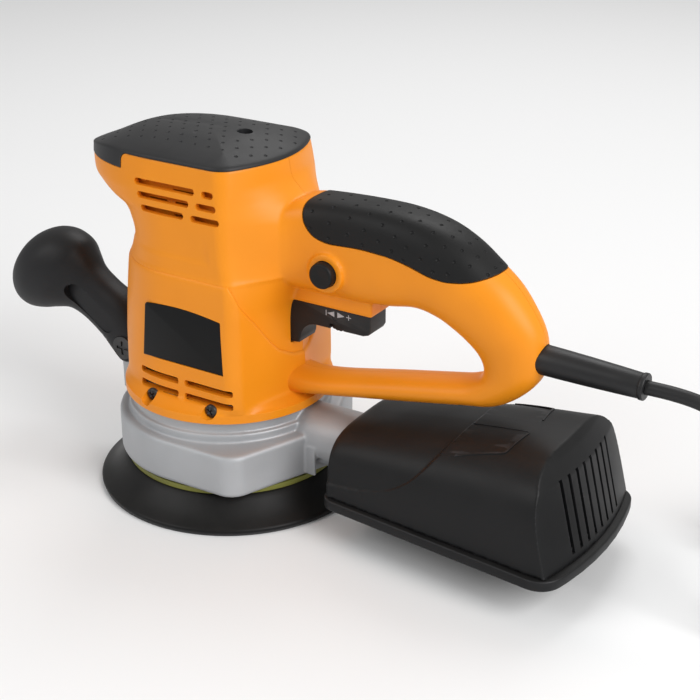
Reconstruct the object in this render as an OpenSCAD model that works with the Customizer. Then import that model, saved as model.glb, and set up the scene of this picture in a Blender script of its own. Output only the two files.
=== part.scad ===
// Orbital sander: a two-shell motor housing with a D-handle on a cast gear housing, a 150 mm
// sanding pad on an eccentric, a clip-on front handle and a dust box on the outlet tube.
// Millimetres. +X points to the rear handle, +Z up. The origin is on the floor face of the pad,
// on the axis of the motor shaft.

/* [Sanding pad] */
// Diameter of the sanding pad
pad_d = 150; // [140:1:155]
// Diameter of the stiff plate on the pad
plate_d = 119; // [114:1:122]
// Thickness of the foam
foam_h = 15; // [12:0.5:15.2]
// Thickness of the stiff plate
plate_t = 3; // [2:0.5:3.2]
// Thickness of the hook facing
hook_t = 1.5; // [1:0.1:2]
// Number of dust holes
dust_holes = 6; // [6:2:8]
// Diameter of a dust hole
dust_hole_d = 10; // [8:0.5:11]
// Pitch circle of the dust holes
dust_pcd = 80; // [72:1:84]

/* [Drive] */
// Offset of the pad axis from the motor axis, half the sanding orbit
eccentricity = 2; // [1:0.25:2.25]
// Diameter of the armature shaft
shaft_d = 12; // [10:0.5:12.5]
// Diameter of the armature core
armature_d = 42; // [38:1:43]
// Length of the armature and field cores
core_h = 38; // [30:1:42]
// Diameter of the commutator
commutator_d = 25; // [22:1:26]
// Diameter of the cooling fan
fan_d = 76; // [68:1:80]
// Diameter of the dust fan
dust_fan_d = 98; // [90:1:102]

/* [Gear housing] */
// Radius of the round front of the casting
casting_r = 61; // [59:0.5:62]
// Reach of the rear corners of the casting behind the axis
casting_rear = 48; // [46:0.5:50]
// Height of the casting up to its shoulder
casting_h = 24; // [23:0.5:24.5]
// Outside diameter of the dust outlet tube
tube_d = 32.5; // [31:0.25:33]
// Wall of the dust outlet tube
tube_wall = 3; // [2.5:0.25:3.5]

/* [Motor housing] */
// Radius of the round foot of the motor housing
foot_r = 57; // [56:0.25:57.5]
// Half width of the motor housing across its flat sides
side_y = 47; // [46:0.25:48]
// Reach of the nose in front of the axis
nose_x = 76; // [73:0.5:78]
// Height of the seam under the top cap
cap_z = 189; // [188:0.25:190]
// Wall of the moulded shells
wall = 3; // [2.5:0.1:3.2]
// Height of a vent slot
vent_h = 3.4; // [2.4:0.1:4]

/* [Rear handle] */
// Half width of the rear handle at the grip
grip_y = 17.5; // [16.5:0.1:18]
// Depth of the soft grip let into the handle
grip_t = 1.6; // [1.2:0.1:2]
// Half width of the trigger
trigger_y = 11.8; // [10.5:0.1:12]
// Diameter of the speed wheel
wheel_d = 17.4; // [16:0.2:18]
// Diameter of the lock button
button_d = 14.6; // [13:0.1:15]

/* [Front handle] */
// Thickness of the lug that carries the front handle
lug_t = 11; // [9:0.5:12]
// Diameter of the clamp bolt
bolt_d = 8; // [6:0.5:8]
// Half width of the handle cheeks
cheek_y = 11; // [10:0.25:12]

/* [Dust box] */
// Half width of the dust box at its front
box_front_y = 38.5; // [36:0.5:40]
// Half width of the dust box at its rear
box_rear_y = 50; // [46:0.5:52]
// Rear end of the dust box
box_rear_x = 216; // [210:1:220]
// Wall of the dust box
box_wall = 2.2; // [1.8:0.1:2.6]
// Number of slots in the rear face of the dust box
box_slots = 8; // [6:1:9]

/* [Cord] */
// Diameter of the supply cord
cord_d = 7; // [6.6:0.1:7.2]
// Mean diameter of a turn of the stored coil
coil_d = 80; // [76:1:84]

/* [Fits] */
// Gap between bodies that move on each other
gap = 0.4; // [0.3:0.05:0.5]
// Radial play of a shaft in its bore
play = 0.06; // [0.03:0.01:0.09]

/* [Hidden] */
$fn = 72;
eps = 0.01;

// Heights of the stack, from the floor up
plate_z = hook_t + foam_h;
pad_top = plate_z + plate_t;
casting_z = 20;
shoulder_z = casting_z + casting_h;
foot_z = 56;
collar_z = 49;
lip_z = 60.5;
flare_z = 65;
crease_z = cap_z - 57;
waist_z = cap_z - 45;
brow_z = cap_z - 16;
neck_z = cap_z - 65;
nose_top = cap_z - 8;
cap_step_x = -35;
core_z = 89;
fan_z = 66;
commutator_z = 140;
upper_bearing_z = cap_z - 13;
bearing_h = 9;
upper_bearing_r = 11;
shaft_top_r = 4;
lower_bearing_r = 16;
lower_bearing_z = 45;
spigot_z = 65;

// Places on the handle
button_at = [73.8, neck_z + 14.2];
wheel_at = [74.5, neck_z - 12.3];
pivot_at = [-67, 62];
tube_z = 38.5;
tube_end = 106;
tube_start = 57;
box_front_x = 87;
box_floor = 20;
hood_z = 26;

function last(v) = v[len(v) - 1];
function mix(a, b, t) = a + (b - a) * t;

// Rows of numbers joined by a smooth curve, n steps from one row to the next
function spline_at(a, b, c, d, t) =
  0.5 * (2 * b + (c - a) * t + (2 * a - 5 * b + 4 * c - d) * t * t + (3 * b - a - 3 * c + d) * t * t * t);
function smooth(rows, n) = [
  for (i = [0:len(rows) - 2]) for (k = [0:n - 1])
    spline_at(rows[max(i - 1, 0)], rows[i], rows[i + 1], rows[min(i + 2, len(rows) - 1)], k / n),
  last(rows)];

function mean_of(ring, i = 0, sum = [0, 0, 0]) =
  i == len(ring) ? sum / len(ring) : mean_of(ring, i + 1, sum + ring[i]);

// A skin over closed rings of equally many points, closed by a fan at each end
module loft(rings) {
  n = len(rings[0]);
  m = len(rings);
  first = n * m;
  polyhedron(
    points = [for (r = rings) each r, mean_of(rings[0]), mean_of(last(rings))],
    faces = [
      for (i = [0:m - 2]) for (j = [0:n - 1]) [i * n + j, i * n + (j + 1) % n, (i + 1) * n + j],
      for (i = [0:m - 2]) for (j = [0:n - 1])
        [i * n + (j + 1) % n, (i + 1) * n + (j + 1) % n, (i + 1) * n + j],
      for (j = [0:n - 1]) [first, (j + 1) % n, j],
      for (j = [0:n - 1]) [first + 1, (m - 1) * n + j, (m - 1) * n + (j + 1) % n]]);
}

module along_y(at, r, y0, y1) {
  translate([at[0], y0, at[1]]) rotate([-90, 0, 0]) cylinder(r = r, h = y1 - y0);
}

module both_sides() {
  children();
  mirror([0, 1, 0]) children();
}

module box(x0, x1, y0, y1, z0, z1) {
  translate([x0, y0, z0]) cube([x1 - x0, y1 - y0, z1 - z0]);
}

module tube(r1, r0, z0, z1) {
  difference() {
    translate([0, 0, z0]) cylinder(r = r1, h = z1 - z0);
    translate([0, 0, z0 - 1]) cylinder(r = r0, h = z1 - z0 + 2);
  }
}

// ---- Motor housing ----
// Each row is height, nose reach, start of the flat side, half width, roundness of the front,
// corner reach, corner radius, reach of the rear seam, hollow of the rear face and share of the
// round foot in the outline
body_rows = [
  [foot_z, foot_r - 1, -5, side_y, 2.12, 40.5, 10, 50.5, 1.3, 0.99],
  [foot_z + 0.8, foot_r, -5, side_y, 2.12, 40.5, 10, 50.5, 1.3, 1],
  [lip_z, foot_r, -5, side_y, 2.12, 40.5, 10, 50.5, 1.3, 1],
  [lip_z + 0.6, foot_r - 0.3, -5, side_y + 0.3, 2.12, 40.5, 10, 50.5, 1.3, 0.8],
  [lip_z + 2.2, foot_r - 0.3, -5, side_y + 0.3, 2.12, 40.5, 10, 50.5, 1.3, 0.45],
  [flare_z, foot_r - 0.3, -5, side_y + 0.3, 2.12, 40.5, 10, 50.5, 1.3, 0.06],
  [flare_z + 3, foot_r - 0.3, -5, side_y + 0.3, 2.12, 40.5, 10, 50.5, 1.3, 0.01],
  [flare_z + 18, foot_r - 0.5, -5, side_y, 2.12, 40, 9, 50, 1.3],
  [mix(flare_z + 18, neck_z - 6.5, 0.58), foot_r - 2.3, -5, side_y - 0.1, 2.12, 40, 9, 50, 1.3],
  [neck_z - 6.5, foot_r - 4, -5, side_y - 0.6, 2.12, 40, 8, 50.5, 1.3],
  [neck_z - 5.5, foot_r - 4.1, -5, side_y - 0.7, 2.12, 40, 8, 70, 1.7],
  [crease_z - 0.6, foot_r - 6.2, -5, side_y - 1.2, 2.12, 39.5, 8, 86, 1.7],
  [crease_z + 0.6, foot_r - 7.2, -5, side_y - 2.4, 2.12, 38.7, 8, 86, 1.7],
  [waist_z, foot_r - 10.4, -5, side_y - 3, 2.12, 38, 8, 86, 1.7],
  [waist_z + 11, foot_r - 6.8, -5, side_y - 3.7, 2.12, 37.6, 8, 86, 1.7],
  [waist_z + 16, foot_r - 2.3, -6, side_y - 4, 2.12, 37.4, 8, 80, 1.7],
  [brow_z - 9, nose_x - 12, -10, side_y - 4.3, 2.12, 37.2, 8, 70, 1.6],
  [brow_z - 4.5, nose_x - 5.3, -12, side_y - 4.6, 2.12, 37, 8, 60, 1.5],
  [brow_z, nose_x - 1.3, -15, side_y - 4.9, 2.12, 36.8, 10, 50, 1.3],
  [nose_top - 1, nose_x - 0.2, -15, side_y - 5.7, 2.12, 37, 13, 43.2, 0.9],
  [cap_z, nose_x, -15, side_y - 6.6, 2.12, 37.5, 15, 42.8, 0.7]];
front_steps = 13;
flat_steps = 2;
corner_steps = 4;
rear_steps = 6;
inner_rows = [0, 2, 5, 8, 10, 13, 15, 17, 18, 20];

// The half outline from the nose round one side to the rear seam, drawn in by d, with only one
// point in "skip" of the outer one's
function half_outline(r, d, skip = 1) = let(
  front_steps = round(front_steps / skip), flat_steps = flat_steps / skip,
  corner_steps = corner_steps / skip, rear_steps = rear_steps / skip,
  nose = -(r[1] - d), xs = r[2], w = r[3] - d, xc = r[5] - d, rc = max(r[6] - d, 1), xr = r[7] - d) [
  for (k = [0:front_steps]) let(a = 90 * k / front_steps)
    [xs - (xs - nose) * pow(cos(a), 2 / r[4]), w * pow(sin(a), 2 / r[4])],
  for (k = [1:flat_steps]) [mix(xs, xc - rc, k / flat_steps), w],
  for (k = [1:corner_steps]) let(a = 90 * (1 - k / corner_steps))
    [xc - rc + rc * cos(a), w - rc + rc * sin(a)],
  for (k = [1:rear_steps]) let(t = k / rear_steps)
    [xc + (xr - xc) * pow(t, r[8]), (w - rc) * (1 - t)]];
function rounded(h, r, d) = let(s = is_undef(r[9]) ? 0 : r[9])
  s == 0 ? h : [for (p = h) mix(p, (foot_r - d) * p / norm(p), s)];
function full_outline(h) = [for (p = h) p, for (i = [len(h) - 2:-1:1]) [h[i][0], -h[i][1]]];
function body_ring(r, d, lift = 0) = [
  for (p = full_outline(rounded(half_outline(r, d), r, d))) [p[0], p[1], r[0] + lift]];
function body_rings(d) = [for (r = body_rows) body_ring(r, d)];
// The hollow of the housing, open at both ends
function hollow_rings(d, over) = [
  for (i = [0:len(inner_rows) - 1]) let(r = body_rows[inner_rows[i]]) [
    for (p = full_outline(rounded(half_outline(r, d, 2), r, d)))
      [p[0], p[1], r[0] + (i == 0 ? -over : i == len(inner_rows) - 1 ? over : 0)]]];

// ---- Rear handle ----
// Each row is the outer edge, the inner edge, the half width and the squareness of the section,
// drawn for a neck at the upper loop height
loop_z = [62, 124];
handle_rows = [
  [44, 169, 44, 124, grip_y - 0.5, 4],
  [60, 172.5, 60, 124, grip_y - 0.5, 4],
  [87, 174, 87, 124, grip_y - 0.5, 3.8],
  [112, 174, 105, 124.3, grip_y, 3.2],
  [132, 171, 121, 126.6, grip_y + 0.5, 2.8],
  [148, 165, 133.5, 124, grip_y + 0.5, 2.6],
  [161, 157, 144, 119, grip_y, 2.5],
  [173, 148, 152, 113.8, grip_y - 0.5, 2.4],
  [182, 137, 157, 108.8, grip_y - 2, 2.3],
  [187.3, 126, 159.3, 104.2, grip_y - 3.5, 2.3],
  [188.6, 115, 159.5, 100.6, grip_y - 4.5, 2.3],
  [187, 103.5, 157.2, 97.4, grip_y - 5, 2.2],
  [178.5, 92.5, 151.5, 95.6, grip_y - 5.2, 2.1],
  [166, 83.8, 145, 94, grip_y - 5.2, 2.1],
  [150, 80.3, 136, 92, grip_y - 5.2, 2.1],
  [117, 73.8, 105, 85.6, grip_y - 5.3, 2.1],
  [75, 66, 72, 78.4, grip_y - 5.1, 2.1],
  [56, 62.6, 56, 76.5, grip_y - 4.7, 2.2],
  [44, 61, 44, 77.5, grip_y - 4, 2.3]];
section_points = 20;
// The lower arm stays at the foot, the upper arm goes with the neck, and the loop between stretches
function on_loop(z) = z > loop_z[1] ? z + neck_z - loop_z[1]
  : loop_z[0] + (z - loop_z[0]) * (neck_z - loop_z[0]) / (loop_z[1] - loop_z[0]);
function on_neck(r) = [r[0], on_loop(r[1]), r[2], on_loop(r[3]), r[4], r[5]];

// A section between the outer and the inner edge, drawn in by d
function section_ring(r, d) = let(
  o = [r[0], r[1]], q = [r[2], r[3]], c = (o + q) / 2, h = norm(o - q) / 2,
  n = (o - q) / (2 * h), hd = h - d, w = r[4] - d, e = 2 / r[5]) [
  for (k = [0:section_points - 1]) let(
    a = 360 * k / section_points, s = sin(a), t = cos(a),
    u = hd * sign(t) * pow(abs(t), e), v = w * sign(s) * pow(abs(s), e))
    [c[0] + n[0] * u, v, c[1] + n[1] * u]];
module handle_skin(d, steps) {
  loft([for (r = smooth(handle_rows, steps)) section_ring(on_neck(r), d)]);
}

// The skirt that hangs round the trigger
skirt_x = [46, 100];
skirt_z = neck_z - 5.7;
slot_x = [47.4, 97.5];
slot_y = trigger_y + gap;
slot_z = neck_z + 2.5;
module skirt() {
  hull()
    for (x = [skirt_x[0] + 3, skirt_x[1] - 3]) both_sides()
      translate([x, grip_y - 3.5, skirt_z]) cylinder(r = 3, h = 8, $fn = 24);
}
module trigger_slot() {
  box(slot_x[0], slot_x[1], -slot_y, slot_y, skirt_z - 25.3, slot_z);
  box(slot_x[1] - 1, trigger_end + gap + 0.2, -slot_y, slot_y, skirt_z - 18.3, slot_z);
}

// The soft grip covers the handle above this line
grip_line = [[59, 176], [59.5, 168], [62, 161.5], [67, 156.5], [75, 154], [93, 155], [111, 154.3],
  [122, 152], [133, 148.6], [142, 147.8], [153, 149], [166, 153.2], [185, 165], [170, 185], [80, 190]];
module grip_region() {
  rotate([90, 0, 0]) translate([0, 0, -30]) linear_extrude(60)
    polygon([for (p = grip_line) [p[0], on_loop(p[1])]]);
}

// A vent slot with round ends, cut through one side wall
module vent(x0, x1, z, side) {
  hull()
    for (x = [x0 + vent_h / 2, x1 - vent_h / 2])
      along_y([x, z], vent_h / 2, side > 0 ? 30 : -60, side > 0 ? 60 : -30, $fn = 12);
}
low_vents = [66, 73.4];
high_vents = [cap_z - 12.5, cap_z - 19, cap_z - 25.7];
module vents(side) {
  for (z = low_vents) {
    vent(-25, 2, z, side);
    vent(6, 36, z, side);
  }
  for (i = [0:2]) {
    vent(-24.7 + 2 * i, 13.4 - 3.2 * i, high_vents[i], side);
    vent(17.7 - 3.2 * i, 25 + 1.8 * i, high_vents[i], side);
  }
}

// Screws that join the shells, each with its half height on the far side
case_at = [[102, neck_z + 10], [146, neck_z + 9], [173, on_loop(103)], [66, 71], [42.4, on_loop(97)]];
case_half = [14, 14, 9, 9.5, 14];
case_r = 1.8;
boss_r = 4;
module case_bosses(side) {
  for (i = [0:len(case_at) - 1])
    hull() {
      along_y(case_at[i], boss_r, side > 0 ? 0 : -case_half[i], side > 0 ? case_half[i] : 0, $fn = 16);
      along_y(case_at[i], boss_r + 1, side > 0 ? case_half[i] - 3 : -case_half[i],
        side > 0 ? case_half[i] : 3 - case_half[i], $fn = 16);
    }
}
module case_holes(side) {
  for (i = [0:len(case_at) - 1]) {
    along_y(case_at[i], case_r + 0.1, -8, 8, $fn = 16);
    if (side > 0) along_y(case_at[i], boss_r + 0.2, 6, 30, $fn = 16);
  }
}

// Screws that hold the foot of the housing on the casting
base_at = [[-14.7, 61.8], [23.6, 62]];
base_r = 2;
base_head_r = 3.6;
base_seat_y = 48.6;
module base_bosses() {
  for (p = base_at) along_y(p, 5, spigot_r1 + gap - 2.6, foot_r, $fn = 16);
}

// Ribs that carry the field core, the upper bearing and the brush holders
rib_t = 2.5;
// Radius of a many-sided hole whose flats just clear a round piece
function clear_of(r) = (r + 0.02) / cos(180 / 36);
bearing_pocket_r = upper_bearing_r + 3;
module cross_ribs() {
  for (z = [core_z + 2, core_z + core_h - 2 - rib_t])
    difference() {
      box(-70, 60, -60, 60, z, z + rib_t);
      translate([0, 0, z - 1]) cylinder(r = clear_of(field_r), h = rib_t + 2);
    }
  difference() {
    union() {
      translate([0, 0, upper_bearing_z - 2]) cylinder(r = bearing_pocket_r, h = bearing_h + 4);
      for (a = [0:60:300]) rotate(a) box(0, 90, -rib_t / 2, rib_t / 2, upper_bearing_z, upper_bearing_z + 7);
    }
    translate([0, 0, upper_bearing_z - 3]) cylinder(r = shaft_top_r + 1, h = 20);
    translate([0, 0, upper_bearing_z]) cylinder(r = clear_of(upper_bearing_r), h = 20);
  }
  both_sides() difference() {
    box(-9, 9, 24, 60, brush_z - 8, brush_z + 8);
    box(-holder_x, holder_x, 20, holder_y1, brush_z - holder_x - 0.8, brush_z + holder_x + 0.8);
  }
}
// Cross walls in the rear handle
module handle_walls() {
  box(104.6, 106.6, -30, 30, neck_z + 4, neck_z + 44);
  box(136, 138, -30, 30, neck_z - 6, neck_z + 48);
  box(160, 162, -30, 30, on_loop(96), neck_z + 36);
}
module cap_posts() {
  for (x = cap_screw_x) translate([x, 0, cap_z - 14]) cylinder(r = 3.6, h = 12);
}

module housing(side) {
  $fn = 36;
  color("darkorange")
    intersection() {
      translate([-200, side > 0 ? 0 : -200, 0]) cube([600, 200, 300]);
      difference() {
        union() {
          difference() {
            union() {
              loft(body_rings(0));
              handle_skin(0, 2);
              skirt();
              if (side < 0) along_y(button_at, button_d / 2 + 4, -grip_y - 2.2, -grip_y + 3);
            }
            loft(hollow_rings(wall, 1));
            handle_skin(wall + 0.6, 1);
            box(40, slot_x[1], -grip_y + wall, grip_y - wall, skirt_z + wall, slot_z + 3.5);
          }
          intersection() {
            union() {
              loft(hollow_rings(1, 0));
              handle_skin(1, 1);
            }
            union() {
              cross_ribs();
              handle_walls();
              cap_posts();
              case_bosses(side);
              difference() {
                both_sides() base_bosses();
                translate([0, 0, 50]) cylinder(r = spigot_r1 + gap / 2, h = 20);
              }
            }
          }
        }
        trigger_slot();
        vents(side);
        case_holes(side);
        both_sides() for (p = base_at) {
          along_y(p, base_r + 0.1, 30, 60, $fn = 16);
          along_y(p, base_head_r + 0.2, base_seat_y, 70, $fn = 16);
        }
        intersection() {
          difference() {
            handle_skin(-1, 1);
            handle_skin(grip_t, 1);
          }
          grip_region();
        }
        if (side < 0) along_y(button_at, button_d / 2 + gap, -40, -4);
        box(-90, cap_step_x, -60, 60, nose_top, 200);
        badge_pocket();
        relief_bore();
        translate([0, 0, 60]) cylinder(r = shaft_top_r + 1, h = cap_z - 59);
        translate([0, 0, 80]) cylinder(r = clear_of(field_r), h = 62);
        translate([0, 0, fan_z - 8]) cylinder(r = fan_d / 2 + 2, h = 24);
        translate([0, 0, foot_z - 1])
          cylinder(r = spigot_r1 + gap / 2, h = spigot_z - foot_z + 1.4, $fn = 96);
        for (x = cap_screw_x) translate([x, 0, cap_z - 16]) cylinder(r = clear_of(cap_screw_r), h = 30);
      }
    }
}
module housing_left() { housing(-1); }
module housing_right() { housing(1); }

// ---- Badge plates ----
badge_x = [-18, 30.5];
badge_z = [83.3, 114];
badge_t = 1;
module badge_shape() {
  polygon([[badge_x[0] - 3, badge_z[0]], [badge_x[1] + 0.5, badge_z[0]], [badge_x[1] - 0.5, badge_z[1] - 2],
    for (k = [0:8]) let(t = k / 8)
      [mix(badge_x[1] - 1.5, badge_x[0] + 1, t), badge_z[1] - 0.5 + 1.6 * sin(180 * t) - 1.2 * (1 - t)],
    [badge_x[0], badge_z[1] - 1.5]]);
}
module badge_at(y, t) {
  translate([0, y, 0]) rotate([90, 0, 0]) linear_extrude(t) badge_shape();
}
module badge_pocket() {
  both_sides() badge_at(-side_y + badge_t + 0.2, 6);
}
module badge_plates() {
  color("#1d1d1f") both_sides() badge_at(-side_y + badge_t + 0.2, badge_t);
}

// ---- Top cap ----
cap_screw_x = [-53.5, 15.3];
cap_screw_r = 1.7;
cap_wall = 3;
cap_steps = [[-0.5, 0], [1.5, 0.3], [3.2, 1.4], [4.9, 3.6], [6.5, 6.8], [8, 11.2], [9.2, 17], [9.9, 23]];
// The crown falls away towards the nose
function crown_drop(x) = 7.5 * pow(max(0, -12 - x) / 60, 2);
function cap_ring(rise, inset, d) = let(r = last(body_rows)) [
  for (p = full_outline(half_outline(r, inset + d)))
    [p[0], p[1], cap_z + rise - d - crown_drop(p[0]) * max(rise, 0) / 10]];
function cap_low(d) = [for (p = full_outline(half_outline(body_rows[len(body_rows) - 2], d)))
  [p[0], p[1], nose_top]];
module cap_skin(d, low) {
  loft([
    [for (p = cap_low(d)) [p[0], p[1], p[2] - low]],
    for (s = cap_steps) cap_ring(s[0], s[1], d)]);
}
module top_cap() {
  color("#2b2c2e") difference() {
    union() {
      difference() {
        cap_skin(0, 0);
        cap_skin(cap_wall, 1);
      }
      intersection() {
        cap_skin(0.5, 0);
        for (x = cap_screw_x) hull() {
          translate([x, 0, cap_z - 2]) cylinder(r = 6, h = 2, $fn = 32);
          translate([x, 0, cap_z + 8]) cylinder(r = 7, h = 2, $fn = 32);
        }
      }
    }
    box(cap_step_x, 60, -60, 60, 150, cap_z);
    for (x = cap_screw_x) {
      translate([x, 0, 150]) cylinder(r = 2.1, h = 60, $fn = 24);
      translate([x, 0, cap_z + 2]) cylinder(r = 4, h = 30, $fn = 32);
    }
    for (x = [-62:10:28]) for (y = [-27:9:27])
      translate([x, y, cap_z + 10 - crown_drop(x)]) cylinder(r = 0.9, h = 3, $fn = 6);
  }
}

// ---- Soft grip ----
module handle_grip() {
  color("#232426") intersection() {
    difference() {
      union() {
        handle_skin(0, 2);
        for (i = [0:8])
          hull() {
            translate([70 + 11 * i, 0, neck_z + 36 - 0.12 * i * i]) rotate([90, 0, 0])
              cylinder(r = 0.9, h = 2 * grip_y + 1.2, center = true, $fn = 8);
          }
      }
      handle_skin(grip_t, 1);
    }
    grip_region();
  }
}

// ---- Controls ----
trigger_end = 103;
trigger_top = neck_z - 3.2;
trigger_floor = trigger_top - 11.3;
module trigger() {
  color("#202022") difference() {
    translate([0, trigger_y, 0]) rotate([90, 0, 0]) linear_extrude(2 * trigger_y)
      polygon([[50, trigger_top], [50, trigger_top - 25.3], [51.5, trigger_top - 27],
        [54.5, trigger_top - 26.4],
        for (k = [0:6]) let(a = 180 - 15 * k) [66 + 10.5 * cos(a), trigger_top - 24.3 + 10.5 * sin(a)],
        [98.5, trigger_top - 13.8], [101.6, trigger_top - 12.6], [trigger_end, trigger_top - 9.8],
        [trigger_end, trigger_top]]);
    box(53, slot_x[1] - 2.5, -trigger_y + 2, trigger_y - 2, trigger_floor, trigger_top + 1);
    box(wheel_at[0] - 11, wheel_at[0] + 11, -5.6, 5.6, trigger_floor - 9.5, trigger_top + 1);
    along_y(wheel_at, wheel_pin_r + play, -trigger_y - 1, trigger_y + 1);
  }
  color("#202022") both_sides() wheel_cheek();
}
wheel_pin_r = 2;
module wheel_cheek() {
  difference() {
    box(wheel_at[0] - 6, wheel_at[0] + 6, 5.6, trigger_y - 1.9, trigger_floor, trigger_floor + 7);
    along_y(wheel_at, wheel_pin_r + play, 4, trigger_y + 1);
  }
}
module speed_wheel() {
  color("#2a2a2c") difference() {
    union() {
      along_y(wheel_at, wheel_d / 2, -5, 5);
      along_y(wheel_at, wheel_pin_r, -trigger_y + 0.3, trigger_y - 0.3);
    }
    for (a = [0:15:345])
      translate([wheel_at[0], 0, wheel_at[1]]) rotate([0, a, 0])
        translate([wheel_d / 2 + 0.2, 6, 0]) rotate([90, 0, 0]) cylinder(r = 0.7, h = 12, $fn = 16);
  }
}
module lock_button() {
  color("#1b1b1c") difference() {
    union() {
      along_y(button_at, button_d / 2, -grip_y - 5.2, -button_in_y);
      along_y(button_at, button_d / 2 - 1, -grip_y - 6.2, -grip_y - 5);
    }
    along_y(button_at, button_d / 2 - 3, -grip_y, -button_in_y + 1);
  }
}
button_in_y = 14.6;

// A helical spring of round wire, along Z
module spring(r, wire, z0, z1, turns, per_turn = 12) {
  steps = turns * per_turn;
  loft([for (i = [0:steps]) let(a = 360 * i / per_turn, z = mix(z0 + wire, z1 - wire, i / steps)) [
    for (k = [0:5]) let(b = 60 * k)
      [(r + wire * cos(b)) * cos(a), (r + wire * cos(b)) * sin(a), z + wire * sin(b)]]]);
}
spring_x = 89.5;
module trigger_spring() {
  color("silver") translate([spring_x, 0, 0]) spring(3.2, 0.45, trigger_floor, switch_z, 5);
}

switch_z = neck_z + 3.6;
switch_x = [58, 96];
module switch_body() {
  color("#303236") difference() {
    union() {
      box(switch_x[0], switch_x[1], -9.4, 9.4, switch_z, switch_z + 8.4);
      box(switch_x[0], switch_x[1], -10.6, 10.6, switch_z + 6.4, switch_z + 24.4);
      box(switch_x[1] - 1, 104.6, -7, 7, switch_z + 12.4, switch_z + 21.4);
    }
    box(64, 90, -11, -8, switch_z + 1.4, switch_z + 5.4);
  }
}
module speed_module() {
  board_z = neck_z + 18;
  color("darkgreen") box(106.6, 136, -9, 9, board_z, board_z + 2);
  color("#3a3a3a") {
    box(108, 120, -7.5, 7.5, board_z + 2, board_z + 14);
    box(123, 134, -8, 8, board_z + 2, board_z + 10);
    box(110, 130, -6, 6, board_z - 8, board_z);
  }
}
module capacitor() {
  color("goldenrod") difference() {
    box(138, 151, -7, 7, neck_z + 15, neck_z + 28);
    box(149.5, 160, -8, 8, neck_z + 26.5, neck_z + 36);
  }
}

// ---- Motor ----
field_r = 37;
field_bore_r = armature_d / 2 + 0.6;
brush_z = commutator_z + 8;
holder_x = 5;
holder_y0 = commutator_d / 2 + 2;
holder_y1 = 37.5;
module field_core() {
  color("slategray") difference() {
    translate([0, 0, core_z]) cylinder(r = field_r, h = core_h);
    translate([0, 0, core_z - 1]) cylinder(r = field_bore_r, h = core_h + 2);
    for (s = [-1, 1]) translate([0, s * 25.5, core_z - 1]) box(-14, 14, -5, 5, 0, core_h + 2);
  }
}
module field_coils() {
  color("peru") both_sides() difference() {
    box(-13.9, 13.9, 21.8, 30.4, core_z - 6, core_z + core_h + 6);
    translate([0, 0, core_z - 8]) cylinder(r = field_bore_r + 0.2, h = core_h + 16);
    box(-6, 6, 18, 34, core_z + core_h + 1, core_z + core_h + 8);
    box(-6, 6, 18, 34, core_z - 8, core_z - 1);
  }
}
module brush_holders() {
  color("gold") both_sides() difference() {
    box(-holder_x, holder_x, holder_y0, holder_y1, brush_z - holder_x - 0.8, brush_z + holder_x + 0.8);
    box(-3.5, 3.5, holder_y0 - 1, holder_y1 - 1.5, brush_z - 4, brush_z + 4);
  }
}
brush_l = 12;
module carbon_brushes() {
  color("#333333") both_sides() difference() {
    box(-3.5, 3.5, commutator_d / 2 + gap - 1, commutator_d / 2 + gap + brush_l, brush_z - 4, brush_z + 4);
    translate([0, 0, brush_z - 5]) cylinder(r = commutator_d / 2 + gap, h = 10);
  }
}
module brush_springs() {
  color("silver") both_sides()
    translate([0, 0, brush_z]) rotate([-90, 0, 0])
      spring(2.4, 0.4, commutator_d / 2 + gap + brush_l, holder_y1 - 1.5, 4, 8);
}
module bearing(outer, inner, z, h) {
  color("silver") difference() {
    translate([0, 0, z]) cylinder(r = outer, h = h);
    translate([0, 0, z - 1]) cylinder(r = inner, h = h + 2);
    for (end = [z - eps, z + h - 0.6])
      translate([0, 0, end]) rotate_extrude()
        translate([mix(inner, outer, 0.3), 0]) square([(outer - inner) * 0.4, 0.6 + eps]);
  }
}
module upper_bearing() { bearing(upper_bearing_r, shaft_top_r + play, upper_bearing_z, 7); }
module lower_bearing() { bearing(lower_bearing_r, shaft_d / 2 + play, lower_bearing_z, 10); }

cup_r = 17;
cup_z = 23.5;
pad_bearing_r = 14;
pad_bearing_h = 8;
spindle_r = 6;
cup_h = 16;
module armature_shaft() {
  color("lightsteelblue") difference() {
    union() {
      translate([0, 0, cup_z]) cylinder(r = cup_r, h = cup_h);
      translate([0, 0, cup_z + cup_h - 1]) cylinder(r = shaft_d / 2, h = 152 - cup_z - cup_h);
      translate([0, 0, 150]) cylinder(r = shaft_top_r, h = upper_bearing_z + 8 - 150);
    }
    translate([eccentricity, 0, cup_z - 1]) cylinder(r = pad_bearing_r, h = pad_bearing_h + 2.5);
    translate([eccentricity, 0, cup_z - 1]) cylinder(r = spindle_r + 2, h = cup_h - 1);
  }
}
module armature_core() {
  color("dimgray") difference() {
    translate([0, 0, core_z]) cylinder(r = armature_d / 2, h = core_h);
    translate([0, 0, core_z - 1]) cylinder(r = shaft_d / 2, h = core_h + 2);
    for (a = [0:30:330]) rotate(a)
      translate([armature_d / 2 - 3, 0, core_z - 1]) cylinder(r = 1.8, h = core_h + 2, $fn = 20);
  }
}
module armature_windings() {
  color("chocolate") {
    tube(armature_d / 2 - 3, shaft_d / 2, core_z + core_h, commutator_z);
    tube(armature_d / 2 - 3, shaft_d / 2, fan_z + 16, core_z);
    for (a = [0:30:330]) rotate(a)
      translate([armature_d / 2 - 3, 0, core_z - 1]) cylinder(r = 1.8, h = core_h + 2, $fn = 20);
  }
}
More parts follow.
